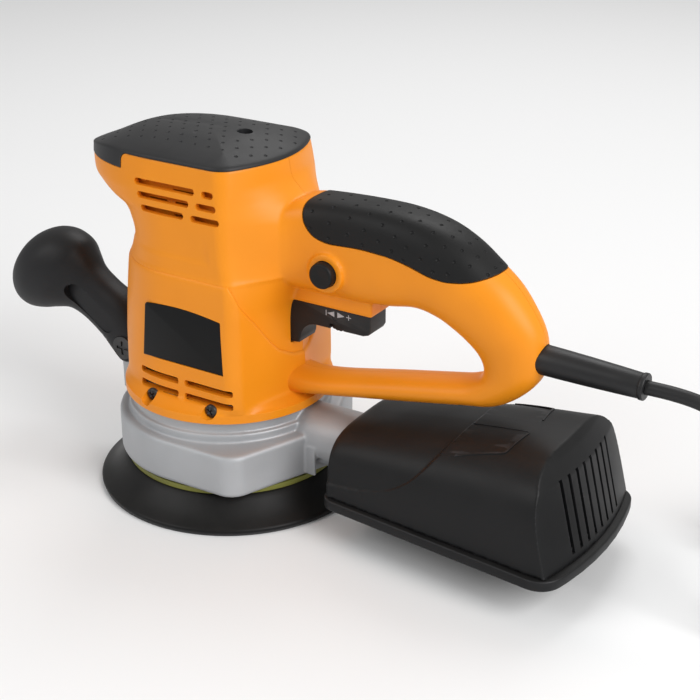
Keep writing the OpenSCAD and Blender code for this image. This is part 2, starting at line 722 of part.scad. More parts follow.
module commutator() {
  color("darkgoldenrod") difference() {
    translate([0, 0, commutator_z]) cylinder(r = commutator_d / 2, h = 15.5);
    translate([0, 0, commutator_z - 1]) cylinder(r = shaft_d / 2, h = 13);
    translate([0, 0, commutator_z + 10]) cylinder(r = shaft_top_r, h = 8);
    for (a = [0:15:345]) rotate(a)
      translate([commutator_d / 2 - 0.8, -0.3, commutator_z - 1]) cube([2, 0.6, 18]);
  }
}
module blades(count, r0, r1, z0, z1, t) {
  for (i = [0:count - 1]) rotate(360 * i / count)
    translate([r0, 0, z0]) rotate(20) cube([r1 - r0, t, z1 - z0]);
}
module motor_fan() {
  color("#d8d8d0") difference() {
    intersection() {
      union() {
        translate([0, 0, fan_z]) cylinder(r = fan_d / 2, h = 2);
        translate([0, 0, fan_z]) cylinder(r = 11, h = 16);
        blades(11, 9, fan_d / 2 + 4, fan_z + 1, fan_z + 12, 1.6);
      }
      translate([0, 0, fan_z - 1]) cylinder(r = fan_d / 2, h = 20);
    }
    translate([0, 0, fan_z - 2]) cylinder(r = shaft_d / 2, h = 30);
  }
}
// The dust fan sits on the cup of the shaft, and its heavy side balances the pad
module dust_fan() {
  color("#8d9094") difference() {
    intersection() {
      union() {
        translate([0, 0, cup_z + 8]) cylinder(r = dust_fan_d / 2 + 2, h = 2);
        translate([0, 0, cup_z]) cylinder(r = cup_r + 4, h = 14);
        blades(9, cup_r + 2, dust_fan_d / 2 + 4, cup_z + 0.5, cup_z + 9, 2);
        intersection() {
          translate([0, 0, cup_z + 1]) cylinder(r = 40, h = 8);
          box(-60, -cup_r - 2, -21.3, 21.3, cup_z, cup_z + 12);
        }
      }
      translate([0, 0, cup_z - 1]) cylinder(r = dust_fan_d / 2, h = 20);
    }
    translate([0, 0, cup_z - 2]) cylinder(r = cup_r, h = 30);
  }
}

// ---- Sanding pad, on the eccentric ----
module on_pad() {
  translate([eccentricity, 0, 0]) children();
}
module dust_bores(r) {
  for (i = [0:dust_holes - 1]) rotate(360 * i / dust_holes)
    translate([dust_pcd / 2, 0, -1]) cylinder(r = r, h = 30, $fn = 48);
}
centre_r = 9;
module pad_foam() {
  color("#151516") on_pad() difference() {
    rotate_extrude($fn = 96) polygon([
      [0, hook_t], [pad_d / 2 - 0.6, hook_t], [pad_d / 2, hook_t + 0.8], [pad_d / 2 - 0.4, hook_t + 2.4],
      [mix(pad_d, plate_d, 0.45) / 2, mix(hook_t + 2.4, plate_z, 0.4)],
      [plate_d / 2, plate_z], [0, plate_z]]);
    dust_bores(dust_hole_d / 2);
    translate([0, 0, -1]) cylinder(r = centre_r, h = 40);
  }
}
module hook_facing() {
  color("#3a3a3a") on_pad() difference() {
    cylinder(r = pad_d / 2 - 0.6, h = hook_t, $fn = 96);
    dust_bores(dust_hole_d / 2);
    translate([0, 0, -1]) cylinder(r = centre_r, h = 40);
  }
}
module pad_plate() {
  color("#5f6322") on_pad() difference() {
    translate([0, 0, plate_z]) cylinder(r = plate_d / 2, h = plate_t, $fn = 96);
    dust_bores(dust_hole_d / 2);
    translate([0, 0, plate_z - 1]) cylinder(r = 4.1, h = 10);
  }
}
// The spindle stands on the plate and turns in the bearing of the eccentric cup
module pad_spindle() {
  color("lightsteelblue") on_pad() difference() {
    union() {
      translate([0, 0, pad_top]) cylinder(r = 9, h = cup_z - gap - pad_top);
      translate([0, 0, pad_top]) cylinder(r = spindle_r, h = cup_z + pad_bearing_h + 3 - pad_top);
    }
    translate([0, 0, pad_top - 1]) cylinder(r = 3.4, h = 14);
  }
}
module pad_screw() {
  color("#2f3033") on_pad() difference() {
    union() {
      translate([0, 0, plate_z - 1.5]) cylinder(r = 8, h = 1.5);
      translate([0, 0, plate_z - 6]) cylinder(r = 6.5, h = 4.5);
      translate([0, 0, plate_z - 1]) cylinder(r = 3.4, h = pad_top + 12 - plate_z);
    }
    translate([0, 0, plate_z - 7]) cylinder(r = 3.4, h = 4, $fn = 6);
  }
}
module pad_bearing() {
  on_pad() bearing(pad_bearing_r, spindle_r + play, cup_z + 1.4, pad_bearing_h);
}

// ---- Gear housing ----
casting_corner_r = 8;
casting_half = casting_r - 1;
chamber_r = dust_fan_d / 2 + 3;
spigot_r1 = 45.5;
spigot_r0 = 41.5;
collar_r = [foot_r - 1.5, foot_r - 3.5];
module casting_plan(d) {
  hull() {
    circle(r = casting_r - d, $fn = 96);
    both_sides_2d() translate([casting_rear - casting_corner_r, casting_half - casting_corner_r])
      circle(r = casting_corner_r - d, $fn = 32);
    translate([casting_r - 5, 0]) circle(r = 10 - d, $fn = 32);
  }
}
module both_sides_2d() {
  children();
  mirror([0, 1]) children();
}
module gear_housing() {
  color("#b9bbbd") {
    difference() {
      union() {
        translate([0, 0, casting_z]) linear_extrude(casting_h - 2) casting_plan(0);
        translate([0, 0, shoulder_z - 2 - eps]) linear_extrude(1 + eps) casting_plan(0.5);
        translate([0, 0, shoulder_z - 1 - eps]) linear_extrude(1 + eps) casting_plan(1.5);
        translate([0, 0, shoulder_z - 1]) cylinder(r = collar_r[0], h = collar_z - shoulder_z + 1, $fn = 96);
        translate([0, 0, collar_z - 1]) cylinder(r = collar_r[1], h = foot_z - collar_z + 1, $fn = 96);
        translate([0, 0, foot_z - 1]) cylinder(r = spigot_r1, h = spigot_z - foot_z + 1, $fn = 96);
        translate([tube_start - 6, 0, tube_z]) rotate([0, 90, 0])
          cylinder(r = tube_d / 2, h = tube_end - tube_start + 6);
      }
      translate([0, 0, casting_z - 1]) cylinder(r = chamber_r, h = 20.5, $fn = 96);
      difference() {
        translate([0, 0, shoulder_z + 1]) cylinder(r = spigot_r0, h = 30, $fn = 96);
        translate([0, 0, shoulder_z]) cylinder(r = lower_bearing_r + 4, h = 11);
      }
      translate([0, 0, lower_bearing_z]) cylinder(r = lower_bearing_r, h = 30);
      translate([0, 0, casting_z]) cylinder(r = shaft_d / 2 + 2, h = 60);
      translate([tube_start, 0, tube_z]) rotate([0, 90, 0])
        cylinder(r = tube_d / 2 - tube_wall, h = tube_end - tube_start + 1);
      box(chamber_r - 8, tube_start + 4, -11, 11, casting_z + 6, 40.5);
      for (y = [-1, 1]) for (p = base_at) scale([1, y, 1]) along_y(p, base_r, 35, 60);
    }
    front_lug();
  }
}
module front_lug() {
  difference() {
    union() {
      along_y(pivot_at, 9, -lug_t / 2, lug_t / 2);
      box(pivot_at[0] - 6, pivot_at[0] + 8.4, -lug_t / 2, lug_t / 2, 34, pivot_at[1] + 2);
      box(-62, -casting_r + 1.5, -lug_t / 2, lug_t / 2, casting_z + 12, 46);
    }
    along_y(pivot_at, bolt_d / 2 + play, -20, 20);
  }
}
module tube_seal() {
  color("#1a1a1a") translate([98, 0, tube_z]) rotate([0, 90, 0]) difference() {
    cylinder(r = tube_d / 2 + 0.35, h = 3);
    translate([0, 0, -1]) cylinder(r = tube_d / 2, h = 5);
  }
}
module pad_brake_ring() {
  color("#111111") tube(chamber_r, chamber_r - 3, casting_z + 0.1, casting_z + 3);
}

// ---- Fasteners ----
module pan_head(r, h) {
  difference() {
    cylinder(r = r, h = h);
    for (a = [0, 90]) rotate(a) translate([-r * 0.6, -r * 0.12, h - 1]) cube([r * 1.2, r * 0.24, 2]);
  }
}
module base_screws() {
  color("#202020") both_sides() for (p = base_at)
    translate([p[0], 0, p[1]]) rotate([-90, 0, 0]) {
      translate([0, 0, base_seat_y]) pan_head(base_head_r, 2.4);
      translate([0, 0, spigot_r0 - 1]) cylinder(r = base_r, h = base_seat_y - spigot_r0 + 1.5);
    }
}
module case_screws() {
  color("#202020") for (p = case_at)
    translate([p[0], 0, p[1]]) rotate([-90, 0, 0]) {
      translate([0, 0, 6]) pan_head(3.5, 2.4);
      translate([0, 0, -7]) cylinder(r = case_r, h = 13.5);
    }
}
module cap_screws() {
  color("#202020") for (x = cap_screw_x) translate([x, 0, 0]) {
    translate([0, 0, cap_z + 2]) pan_head(3.6, 2.2);
    translate([0, 0, cap_z - 9]) cylinder(r = cap_screw_r, h = 12);
  }
}

// ---- Front handle ----
stem_n = [0.55, 0.835];
// Each row is the centre of a section, its half depth, its half width and its squareness
stem_rows = [
  [-153.4, 105.8, 6, 4.5, 2], [-151.5, 105.2, 14, 10.5, 2.1], [-147.5, 104, 21.5, 16, 2.1],
  [-141, 102.2, 27.5, 20, 2.1], [-132, 100.2, 31, 22.2, 2.1], [-123, 98.6, 30.5, 21.8, 2.1],
  [-115, 96.9, 26, 19, 2.1], [-108.5, 94.6, 19.5, 14.5, 2.2], [-101, 91, 15.5, 11.6, 2.4],
  [-90, 84.5, 14.8, 11, 2.6], [-78, 76, 15.3, 11, 2.8], [-70.5, 67.5, 14.3, 11, 3],
  [-66, 60, 11.5, 10.6, 3], [-63.5, 56.5, 8, 8, 2.6]];
function stem_section(r) = [
  r[0] + stem_n[0] * r[2], r[1] + stem_n[1] * r[2],
  r[0] - stem_n[0] * r[2], r[1] - stem_n[1] * r[2], r[3], r[4]];
module front_handle() {
  color("#2a2a2d") difference() {
    loft([for (r = smooth(stem_rows, 2)) section_ring(stem_section(r), 0)]);
    lug_room();
    along_y(pivot_at, bolt_d / 2, -30, 30);
    both_sides() along_y(pivot_at, 7, cheek_y - 3, cheek_y + 9);
    translate([8, 0, -1]) flute();
    mirror([0, 1, 0]) translate([8, 0, -1]) flute();
  }
}
// Room for the lug between the cheeks, over the whole swing
module lug_room() {
  hull() {
    along_y(pivot_at, 9 + gap + 0.4, -lug_t / 2 - gap, lug_t / 2 + gap);
    along_y([pivot_at[0] + 10, pivot_at[1] - 4], 14, -lug_t / 2 - gap, lug_t / 2 + gap);
    along_y([pivot_at[0] - 4, pivot_at[1] - 14], 9, -lug_t / 2 - gap, lug_t / 2 + gap);
  }
}
module flute() {
  hull() {
    along_y([-88, 77], 6, cheek_y - 1.2, cheek_y + 5, $fn = 32);
    along_y([-108, 91.5], 6, cheek_y - 0.2, cheek_y + 8, $fn = 32);
  }
}
module handle_bolt() {
  color("#c8c8cc") translate([pivot_at[0], 0, pivot_at[1]]) rotate([-90, 0, 0]) {
    translate([0, 0, -cheek_y]) cylinder(r = bolt_d / 2, h = 2 * cheek_y - 1);
    translate([0, 0, -cheek_y + 3]) mirror([0, 0, 1]) pan_head(6.8, 3.6);
  }
}
module handle_nut() {
  color("#a8a8ac") translate([pivot_at[0], cheek_y - 3, pivot_at[1]]) rotate([-90, 0, 0]) difference() {
    cylinder(r = 6.8, h = 4, $fn = 6);
    translate([0, 0, -1]) cylinder(r = bolt_d / 2, h = 8);
  }
}

// ---- Dust box ----
// Each row is the station, the half width, the height of the ridge and the squareness of the crown
hood_rows = [
  [box_front_x, box_front_y - 1.5, 58, 3.7], [box_front_x + 1.5, box_front_y, 60.5, 3.6],
  [box_front_x + 10, mix(box_front_y, box_rear_y, 0.07), 63.3, 3.6],
  [box_front_x + 50, mix(box_front_y, box_rear_y, 0.4), 72, 3],
  [box_front_x + 85, mix(box_front_y, box_rear_y, 0.68), 79, 2.6],
  [box_front_x + 108, mix(box_front_y, box_rear_y, 0.87), 83, 2.3],
  [box_rear_x - 10, box_rear_y, 85, 2.2], [box_rear_x, box_rear_y - 1, 85.5, 2.2]];
hood_points = 28;
function hood_ring(r, d, low) = let(h = r[2] - d - hood_z + low, w = r[1] - d, e = 2 / r[3]) [
  for (k = [0:hood_points]) let(a = 180 - 180 * k / hood_points)
    [r[0], w * sign(cos(a)) * pow(abs(cos(a)), e), hood_z - low + h * pow(sin(a), e * 0.9)]];
module hood_skin(d, low, front = 0, rear = 0) {
  loft([for (i = [0:len(hood_rows) - 1]) let(r = hood_rows[i])
    hood_ring([r[0] + (i == 0 ? front : i == len(hood_rows) - 1 ? rear : 0), r[1], r[2], r[3]], d, low)]);
}
// Side view of the rear end: leaning back wall with a bevel under the crown
module hood_profile(d) {
  rotate([90, 0, 0]) translate([0, 0, -80]) linear_extrude(160)
    polygon([[box_front_x + d, 0], [box_rear_x - d, 0], [box_rear_x - d, hood_z],
      [box_rear_x - 6 - d, 70 - d], [box_rear_x - 18 - d, 84.6 - d],
      [box_rear_x - 22, 110], [box_front_x + d, 110]]);
}
sleeve_r = tube_d / 2 + 0.35 + gap;
module dust_hood() {
  color("#222326") difference() {
    union() {
      difference() {
        intersection() {
          hood_skin(0, 0);
          hood_profile(0);
        }
        intersection() {
          hood_skin(box_wall, 2);
          hood_profile(box_wall);
        }
      }
      intersection() {
        hood_skin(0.4, 0);
        translate([box_front_x + 0.2, 0, tube_z]) rotate([0, 90, 0]) cylinder(r = sleeve_r + 2, h = 21);
      }
      for (y = [-1, 1]) intersection() {
        hood_skin(0.4, 0);
        hull() {
          box(filter_x - 3, filter_x - 0.2, 34 * y - 6, 34 * y + 6, hood_z + 10, hood_z + 14);
          box(filter_x - 3, filter_x - 0.2, 40 * y - 6, 40 * y + 6, hood_z + 10, hood_z + 30);
        }
      }
    }
    translate([box_front_x - 1, 0, tube_z]) rotate([0, 90, 0]) cylinder(r = sleeve_r, h = 30);
    for (i = [0:box_slots - 1]) let(y = (i - (box_slots - 1) / 2) * 72 / (box_slots - 1)) hull() {
      translate([box_rear_x - 8, y, 36]) rotate([0, 90, 0]) cylinder(r = 1.5, h = 20, $fn = 16);
      translate([box_rear_x - 14, y, 66 - 0.012 * y * y]) rotate([0, 90, 0])
        cylinder(r = 1.5, h = 20, $fn = 16);
    }
  }
}
module tray_plan(d) {
  offset(r = -d, $fn = 32) hull() both_sides_2d() {
    translate([box_front_x + 6, box_front_y - 6]) circle(r = 6, $fn = 32);
    translate([box_rear_x - 10, box_rear_y - 10]) circle(r = 10, $fn = 32);
  }
}
module dust_tray() {
  color("#1c1d1f") difference() {
    union() {
      translate([0, 0, box_floor]) linear_extrude(hood_z - box_floor - gap) tray_plan(-2.6);
      translate([0, 0, box_floor]) linear_extrude(hood_z - box_floor + 6) tray_plan(box_wall + 1.2);
    }
    translate([0, 0, box_floor + 2]) linear_extrude(20) tray_plan(box_wall + 3.2);
    translate([box_front_x - 10, 0, tube_z]) rotate([0, 90, 0]) cylinder(r = sleeve_r + 2 + gap, h = 36);
  }
}
filter_x = box_rear_x - 21;
filter_h = 33;
module dust_filter() {
  color("#8a8c86") {
    difference() {
      box(filter_x, filter_x + 5, -39, 39, hood_z + 8, hood_z + filter_h);
      box(filter_x - 1, filter_x + 6, -36, 36, hood_z + 12, hood_z + filter_h - 4);
    }
    for (i = [0:11])
      box(filter_x + 0.5, filter_x + 4.5, -36 + 6.2 * i, -32.2 + 6.2 * i, hood_z + 12, hood_z + filter_h - 4);
  }
}

// ---- Supply cord ----
relief_x = 182;
relief_z = on_loop(112.8);
relief_end = 238.5;
relief_tilt = 1.5;
relief_r = [7.5, 6.2];
cord_path = [[238.5, 0, 111.2], [252, 0.4, 111], [264, 1.2, 109.3], [276, 2.4, 104.8], [286, 3.6, 97],
  [293.5, 4, 86.5], [297.5, 3, 74], [298.5, 0.5, 61], [298.7, -3.5, 48], [300, -8, 36],
  [303.5, -11.8, 25.5], [309, -14.6, 16.5], [316, -15.8, 9.8], [324.5, -15.2, 5.6]];
coil_at = [340, 37];
coil_layers = 2;
coil_width = 4;
coil_r = [(coil_d - coil_width * cord_d) / 2, (coil_d + coil_width * cord_d) / 2];
module relief_bore() {
  translate([relief_x - 30, 0, relief_z]) rotate([0, 90, 0]) cylinder(r = relief_r[0] - 2, h = 40);
  translate([relief_x - 6, 0, relief_z]) rotate([0, 90, 0]) cylinder(r = relief_r[0] + 0.7, h = 4);
  translate([relief_x - 2.5, 0, relief_z]) rotate([0, 90, 0]) cylinder(r = relief_r[0] + 0.1, h = 30);
}
module strain_relief() {
  color("#151516") difference() {
    union() {
      translate([relief_x - 9, 0, relief_z]) rotate([0, 90, 0]) cylinder(r = relief_r[0] - 2.1, h = 12);
      translate([relief_x - 5.9, 0, relief_z]) rotate([0, 90, 0]) cylinder(r = relief_r[0] + 0.5, h = 3.8);
      translate([relief_x, 0, relief_z]) rotate([0, 90 + relief_tilt, 0])
        cylinder(r1 = relief_r[0], r2 = relief_r[1], h = relief_end - relief_x, $fn = 48);
    }
    translate([relief_x - 20, 0, relief_z + 0.4]) rotate([0, 90 + relief_tilt, 0])
      cylinder(r = cord_d / 2 + 0.05, h = 90);
  }
}
module cord_clamp() {
  color("#303030") difference() {
    box(165.5, 171, -7.5, 7.5, relief_z - 4.6, relief_z + 5);
    translate([150, 0, relief_z]) rotate([0, 90, 0]) cylinder(r = cord_d / 2 + 0.05, h = 30);
  }
}
function unit(v) = v / norm(v);
function path_dir(p, i) = unit(p[min(i + 1, len(p) - 1)] - p[max(i - 1, 0)]);
module swept(path, r, sides) {
  loft([for (i = [0:len(path) - 1]) let(
    d = path_dir(path, i), side = unit(cross([0, 0, 1], d)), up = cross(d, side)) [
    for (k = [0:sides - 1]) let(a = 360 * k / sides) path[i] + r * (cos(a) * side - sin(a) * up)]]);
}
module cord_lead() {
  color("#0e0e0f") swept(smooth(cord_path, 2), cord_d / 2, 10);
}
module cord_coil() {
  color("#0e0e0f") translate([coil_at[0], coil_at[1], 0]) difference() {
    cylinder(r = coil_r[1], h = coil_layers * cord_d);
    translate([0, 0, -1]) cylinder(r = coil_r[0], h = coil_layers * cord_d + 2);
  }
}
module coil_tie() {
  color("#1a1a1a") translate([coil_at[0], coil_at[1], 0]) difference() {
    rotate(-135) box(coil_r[0] - 1.2, coil_r[1] + 1.2, -4, 4, 0, coil_layers * cord_d + 1.2);
    difference() {
      translate([0, 0, -1]) cylinder(r = coil_r[1], h = coil_layers * cord_d + 1);
      translate([0, 0, -2]) cylinder(r = coil_r[0], h = coil_layers * cord_d + 4);
    }
  }
}
plug_z = coil_layers * cord_d;
module at_plug() {
  translate([coil_at[0] - 40, coil_at[1] + 30, plug_z]) rotate(180) children();
}
module mains_plug() {
  color("#141415") at_plug() difference() {
    union() {
      hull() for (x = [-28, 2]) for (y = [-10, 10]) translate([x, y, 0]) cylinder(r = 7, h = 24, $fn = 32);
      translate([-46, 0, 12]) rotate([0, 90, 0]) cylinder(r1 = 5, r2 = 8, h = 14);
    }
    for (y = [-9.5, 9.5]) translate([0, y, 12]) rotate([0, 90, 0]) cylinder(r = 2.4, h = 20);
  }
}
module plug_pins() {
  color("silver") at_plug() for (y = [-9.5, 9.5])
    translate([0.1, y, 12]) rotate([0, 90, 0]) cylinder(r = 2.4, h = 27.9);
}

housing_left();
housing_right();
top_cap();
handle_grip();
badge_plates();
lock_button();
trigger();
trigger_spring();
speed_wheel();
switch_body();
speed_module();
capacitor();
field_core();
field_coils();
brush_holders();
carbon_brushes();
brush_springs();
upper_bearing();
lower_bearing();
armature_shaft();
armature_core();
armature_windings();
commutator();
motor_fan();
dust_fan();
pad_bearing();
pad_spindle();
pad_screw();
pad_plate();
pad_foam();
hook_facing();
pad_brake_ring();
gear_housing();
tube_seal();
base_screws();
case_screws();
cap_screws();
front_handle();
handle_bolt();
handle_nut();
dust_hood();
dust_tray();
dust_filter();
strain_relief();
cord_clamp();
cord_lead();
cord_coil();
coil_tie();
mains_plug();
plug_pins();
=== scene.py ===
import math

import bpy
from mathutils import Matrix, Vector


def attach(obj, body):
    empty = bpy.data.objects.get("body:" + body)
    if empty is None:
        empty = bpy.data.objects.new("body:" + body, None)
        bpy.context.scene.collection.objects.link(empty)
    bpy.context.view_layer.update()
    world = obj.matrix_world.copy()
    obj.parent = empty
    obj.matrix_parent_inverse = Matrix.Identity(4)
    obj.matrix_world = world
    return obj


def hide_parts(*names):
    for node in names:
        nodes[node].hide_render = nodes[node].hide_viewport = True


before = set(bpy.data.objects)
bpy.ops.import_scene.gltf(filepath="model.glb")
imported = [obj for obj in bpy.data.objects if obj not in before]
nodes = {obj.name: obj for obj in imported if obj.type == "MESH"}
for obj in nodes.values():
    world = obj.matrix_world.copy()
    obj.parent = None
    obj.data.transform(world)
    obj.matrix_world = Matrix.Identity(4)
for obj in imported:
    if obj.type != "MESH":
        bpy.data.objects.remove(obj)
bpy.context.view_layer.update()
mm = 0.001

# ---- camera, set where it was fitted, before anything is made

cameraPlan = {"place": (0.4425, -0.5812, 0.4030), "tilt": 65.569, "turn": 32.085, "lens": 75, "sensor": 36}


def makeCamera():
    turn = (math.radians(cameraPlan["tilt"]), 0, math.radians(cameraPlan["turn"]))
    bpy.ops.object.camera_add(location=cameraPlan["place"], rotation=turn)
    camera = bpy.context.object
    camera.name = "camera"
    camera.data.lens = cameraPlan["lens"]
    camera.data.sensor_width = cameraPlan["sensor"]
    bpy.context.scene.camera = camera


makeCamera()
print("camera placed")

# ---- tools used by every piece


def pick(*objs):
    if bpy.context.mode != "OBJECT":
        bpy.ops.object.mode_set(mode="OBJECT")
    bpy.ops.object.select_all(action="DESELECT")
    for obj in objs:
        obj.select_set(True)
    bpy.context.view_layer.objects.active = objs[0]
    return objs[0]


def settle(obj):
    pick(obj)
    bpy.ops.object.transform_apply(location=True, rotation=True, scale=True)
    return obj


def modify(obj, kind, **values):
    pick(obj)
    mod = obj.modifiers.new(kind.lower(), kind)
    for key, value in values.items():
        setattr(mod, key, value)
    bpy.ops.object.modifier_apply(modifier=mod.name)
    return obj


def drop(*objs):
    for obj in objs:
        bpy.data.objects.remove(obj)


def carve(obj, cutter, mode="DIFFERENCE"):
    # takes the cutter off, or joins or crosses it, and uses it up
    modify(obj, "BOOLEAN", operation=mode, object=cutter, solver="MANIFOLD")
    drop(cutter)
    return obj


def copyOf(obj, name):
    twin = obj.copy()
    twin.data = obj.data.copy()
    twin.name = name
    bpy.context.scene.collection.objects.link(twin)
    return twin


def joined(name, parts):
    pick(*parts)
    if len(parts) > 1:
        bpy.ops.object.join()
    obj = bpy.context.view_layer.objects.active
    obj.name = name
    return obj


def box(name, low, high, bevel=0.0):
    centre = [(a + b) / 2 * mm for a, b in zip(low, high)]
    size = [(b - a) * mm for a, b in zip(low, high)]
    bpy.ops.mesh.primitive_cube_add(size=1, location=centre, scale=size)
    obj = settle(bpy.context.object)
    obj.name = name
    return rounding(obj, bevel, 3, 30) if bevel else obj


def midBox(name, half, low, high):
    # a box across the middle plane, from its two corners in x and z
    return box(name, (low[0], -half, low[1]), (high[0], half, high[1]))


def rounding(obj, width, segments=3, angle=60):
    return modify(obj, "BEVEL", width=width * mm, segments=segments, limit_method="ANGLE",
                  angle_limit=math.radians(angle))


def rod(name, start, end, radius, sides=48, bevel=0.0, endRadius=None):
    a, b = Vector(start) * mm, Vector(end) * mm
    along = b - a
    bpy.ops.mesh.primitive_cone_add(vertices=sides, radius1=radius * mm, depth=along.length,
                                    radius2=(radius if endRadius is None else endRadius) * mm,
                                    location=(a + b) / 2, rotation=along.to_track_quat("Z", "Y").to_euler())
    obj = settle(bpy.context.object)
    obj.name = name
    return rounding(obj, bevel, 3, 50) if bevel else obj


def meshObject(name, points, edges=(), faces=()):
    mesh = bpy.data.meshes.new(name)
    mesh.from_pydata(points, edges, faces)
    obj = bpy.data.objects.new(name, mesh)
    bpy.context.scene.collection.objects.link(obj)
    return obj


def editWhole(obj):
    pick(obj)
    bpy.ops.object.mode_set(mode="EDIT")
    bpy.ops.mesh.select_all(action="SELECT")


def facesOutward(obj):
    editWhole(obj)
    bpy.ops.mesh.normals_make_consistent(inside=False)
    bpy.ops.object.mode_set(mode="OBJECT")
    return obj


def skin(name, rings):
    # a closed skin over rings of equally many points, with a fan at each end
    count = len(rings[0])
    points = [tuple(c * mm for c in p) for ring in rings for p in ring]
    faces = []
    for i in range(len(rings) - 1):
        for j in range(count):
            a, b = i * count + j, i * count + (j + 1) % count
            faces.append((a, b, b + count, a + count))
    for ring, base, flip in ((rings[0], 0, True), (rings[-1], (len(rings) - 1) * count, False)):
        points.append(tuple(sum(p[k] for p in ring) / count * mm for k in range(3)))
        for j in range(count):
            a, b = base + j, base + (j + 1) % count
            faces.append((b, a, len(points) - 1) if flip else (a, b, len(points) - 1))
    return facesOutward(meshObject(name, points, faces=faces))


def pulled(name, points, way):
    # a flat outline pulled one way into a closed block
    obj = meshObject(name, points, faces=[tuple(range(len(points)))])
    editWhole(obj)
    bpy.ops.mesh.extrude_region_move(TRANSFORM_OT_translate={"value": way})
    bpy.ops.object.mode_set(mode="OBJECT")
    return facesOutward(obj)


def slab(name, outline, y0, y1):
    # an outline drawn in x and z, pulled along y
    return pulled(name, [(x * mm, y0 * mm, z * mm) for x, z in outline], (0, (y1 - y0) * mm, 0))


def plate(name, outline, z0, z1):
    # an outline drawn in x and y, pulled up
    return pulled(name, [(x * mm, y * mm, z0 * mm) for x, y in outline], (0, 0, (z1 - z0) * mm))


def turned(name, profile, centre=(0, 0), steps=96):
    # a closed profile of radius and height, spun about an upright axis
    points = [((centre[0] + r) * mm, centre[1] * mm, z * mm) for r, z in profile]
    obj = meshObject(name, points, [(i, (i + 1) % len(points)) for i in range(len(points))])
    editWhole(obj)
    bpy.ops.mesh.spin(steps=steps, angle=math.tau, axis=(0, 0, 1), center=(centre[0] * mm, centre[1] * mm, 0))
    bpy.ops.mesh.select_all(action="SELECT")
    bpy.ops.mesh.remove_doubles(threshold=0.00001)
    bpy.ops.mesh.dissolve_degenerate(threshold=0.000001)
    bpy.ops.object.mode_set(mode="OBJECT")
    return facesOutward(obj)


def arc(cx, cy, radius, start, stop, steps):
    # points along an arc, with its angles in degrees
    points = []
    for k in range(steps + 1):
        a = math.radians(start + (stop - start) * k / steps)
        points.append((cx + radius * math.cos(a), cy + radius * math.sin(a)))
    return points


def rounded(outline, radius, steps=5):
    # the same outline with its corners rounded
    points = []
    count = len(outline)
    for i, corner in enumerate(outline):
        corner = Vector(corner)
        back = Vector(outline[i - 1]) - corner
        ahead = Vector(outline[(i + 1) % count]) - corner
        reach = min(radius, back.length * 0.45, ahead.length * 0.45)
        a, b = corner + back.normalized() * reach, corner + ahead.normalized() * reach
        for k in range(steps + 1):
            t = k / steps
            points.append(tuple((1 - t) ** 2 * a + 2 * t * (1 - t) * corner + t * t * b))
    return points


def wax(obj, voxel, passes):
    # melts overlapping solids into one even skin with soft inner corners
    modify(obj, "REMESH", mode="VOXEL", voxel_size=voxel * mm, use_smooth_shade=True)
    modify(obj, "SMOOTH", factor=0.5, iterations=passes)
    return obj


def shadeSoft(obj, angle):
    pick(obj)
    bpy.ops.object.shade_smooth_by_angle(angle=math.radians(angle))


def throughRows(rows, steps):
    # a smooth curve through rows of numbers, with equal steps from row to row
    out = []
    for i in range(len(rows) - 1):
        a, b = rows[max(i - 1, 0)], rows[i]
        c, d = rows[i + 1], rows[min(i + 2, len(rows) - 1)]
        for k in range(steps):
            t = k / steps
            out.append([0.5 * (2 * q + (r - p) * t + (2 * p - 5 * q + 4 * r - s) * t * t
                               + (3 * q - p - 3 * r + s) * t ** 3) for p, q, r, s in zip(a, b, c, d)])
    out.append(list(rows[-1]))
    return out


def evenRows(rows, at):
    # a curve through rows keyed by their first number, which never swings past a row
    i = max(k for k in range(len(rows) - 1) if rows[k][0] <= at or k == 0)
    lo, hi = rows[i], rows[i + 1]
    span = hi[0] - lo[0]
    t = min(max((at - lo[0]) / span, 0), 1)
    out = [at]
    for k in range(1, len(lo)):
        slope = (hi[k] - lo[k]) / span
        ends = []
        for j in (i, i + 1):
            if j in (0, len(rows) - 1):
                ends.append(slope)
                continue
            before = (rows[j][k] - rows[j - 1][k]) / (rows[j][0] - rows[j - 1][0])
            after = (rows[j + 1][k] - rows[j][k]) / (rows[j + 1][0] - rows[j][0])
            ends.append(0 if before * after <= 0 else 2 * before * after / (before + after))
        out.append((2 * t ** 3 - 3 * t * t + 1) * lo[k] + (t ** 3 - 2 * t * t + t) * span * ends[0]
                   + (3 * t * t - 2 * t ** 3) * hi[k] + (t ** 3 - t * t) * span * ends[1])
    return out


def ease(t):
    t = min(max(t, 0), 1)
    return t * t * (3 - 2 * t)


# ---- supply cord, its coil and what is on it

cord = {
    "diameter": 7,
    "route": [(238.5, 0, 111.2), (252, 0.4, 111), (264, 1.2, 109.3), (276, 2.4, 104.8), (286, 3.6, 97),
              (293.5, 4, 86.5), (297.5, 3, 74), (298.5, 0.5, 61), (298.7, -3.5, 48), (300, -8, 36),
              (303.5, -11.8, 25.5), (309, -14.6, 16.5), (316, -15.8, 9.8), (324.5, -15.2, 5.6),
              (332.5, -14.1, 3.8)],
    # the coil lies in two layers; the upper one stops short and lifts at its end by some millimetres
    "coilCentre": (340, 37), "outerTurn": 50.5, "innerTurn": 29.5, "turns": 3, "pointsPerTurn": 24,
    "startTurn": -90, "tuck": 1.2, "upperTurns": 2.75, "lift": 3,
    # the quarter circle over the coil: its radius, then turn and height of each point
    "bend": 30, "over": ((22, 15.8), (45, 18.4), (68, 21), (90, 23.2)), "plugEntry": (345, 67, 26),
}


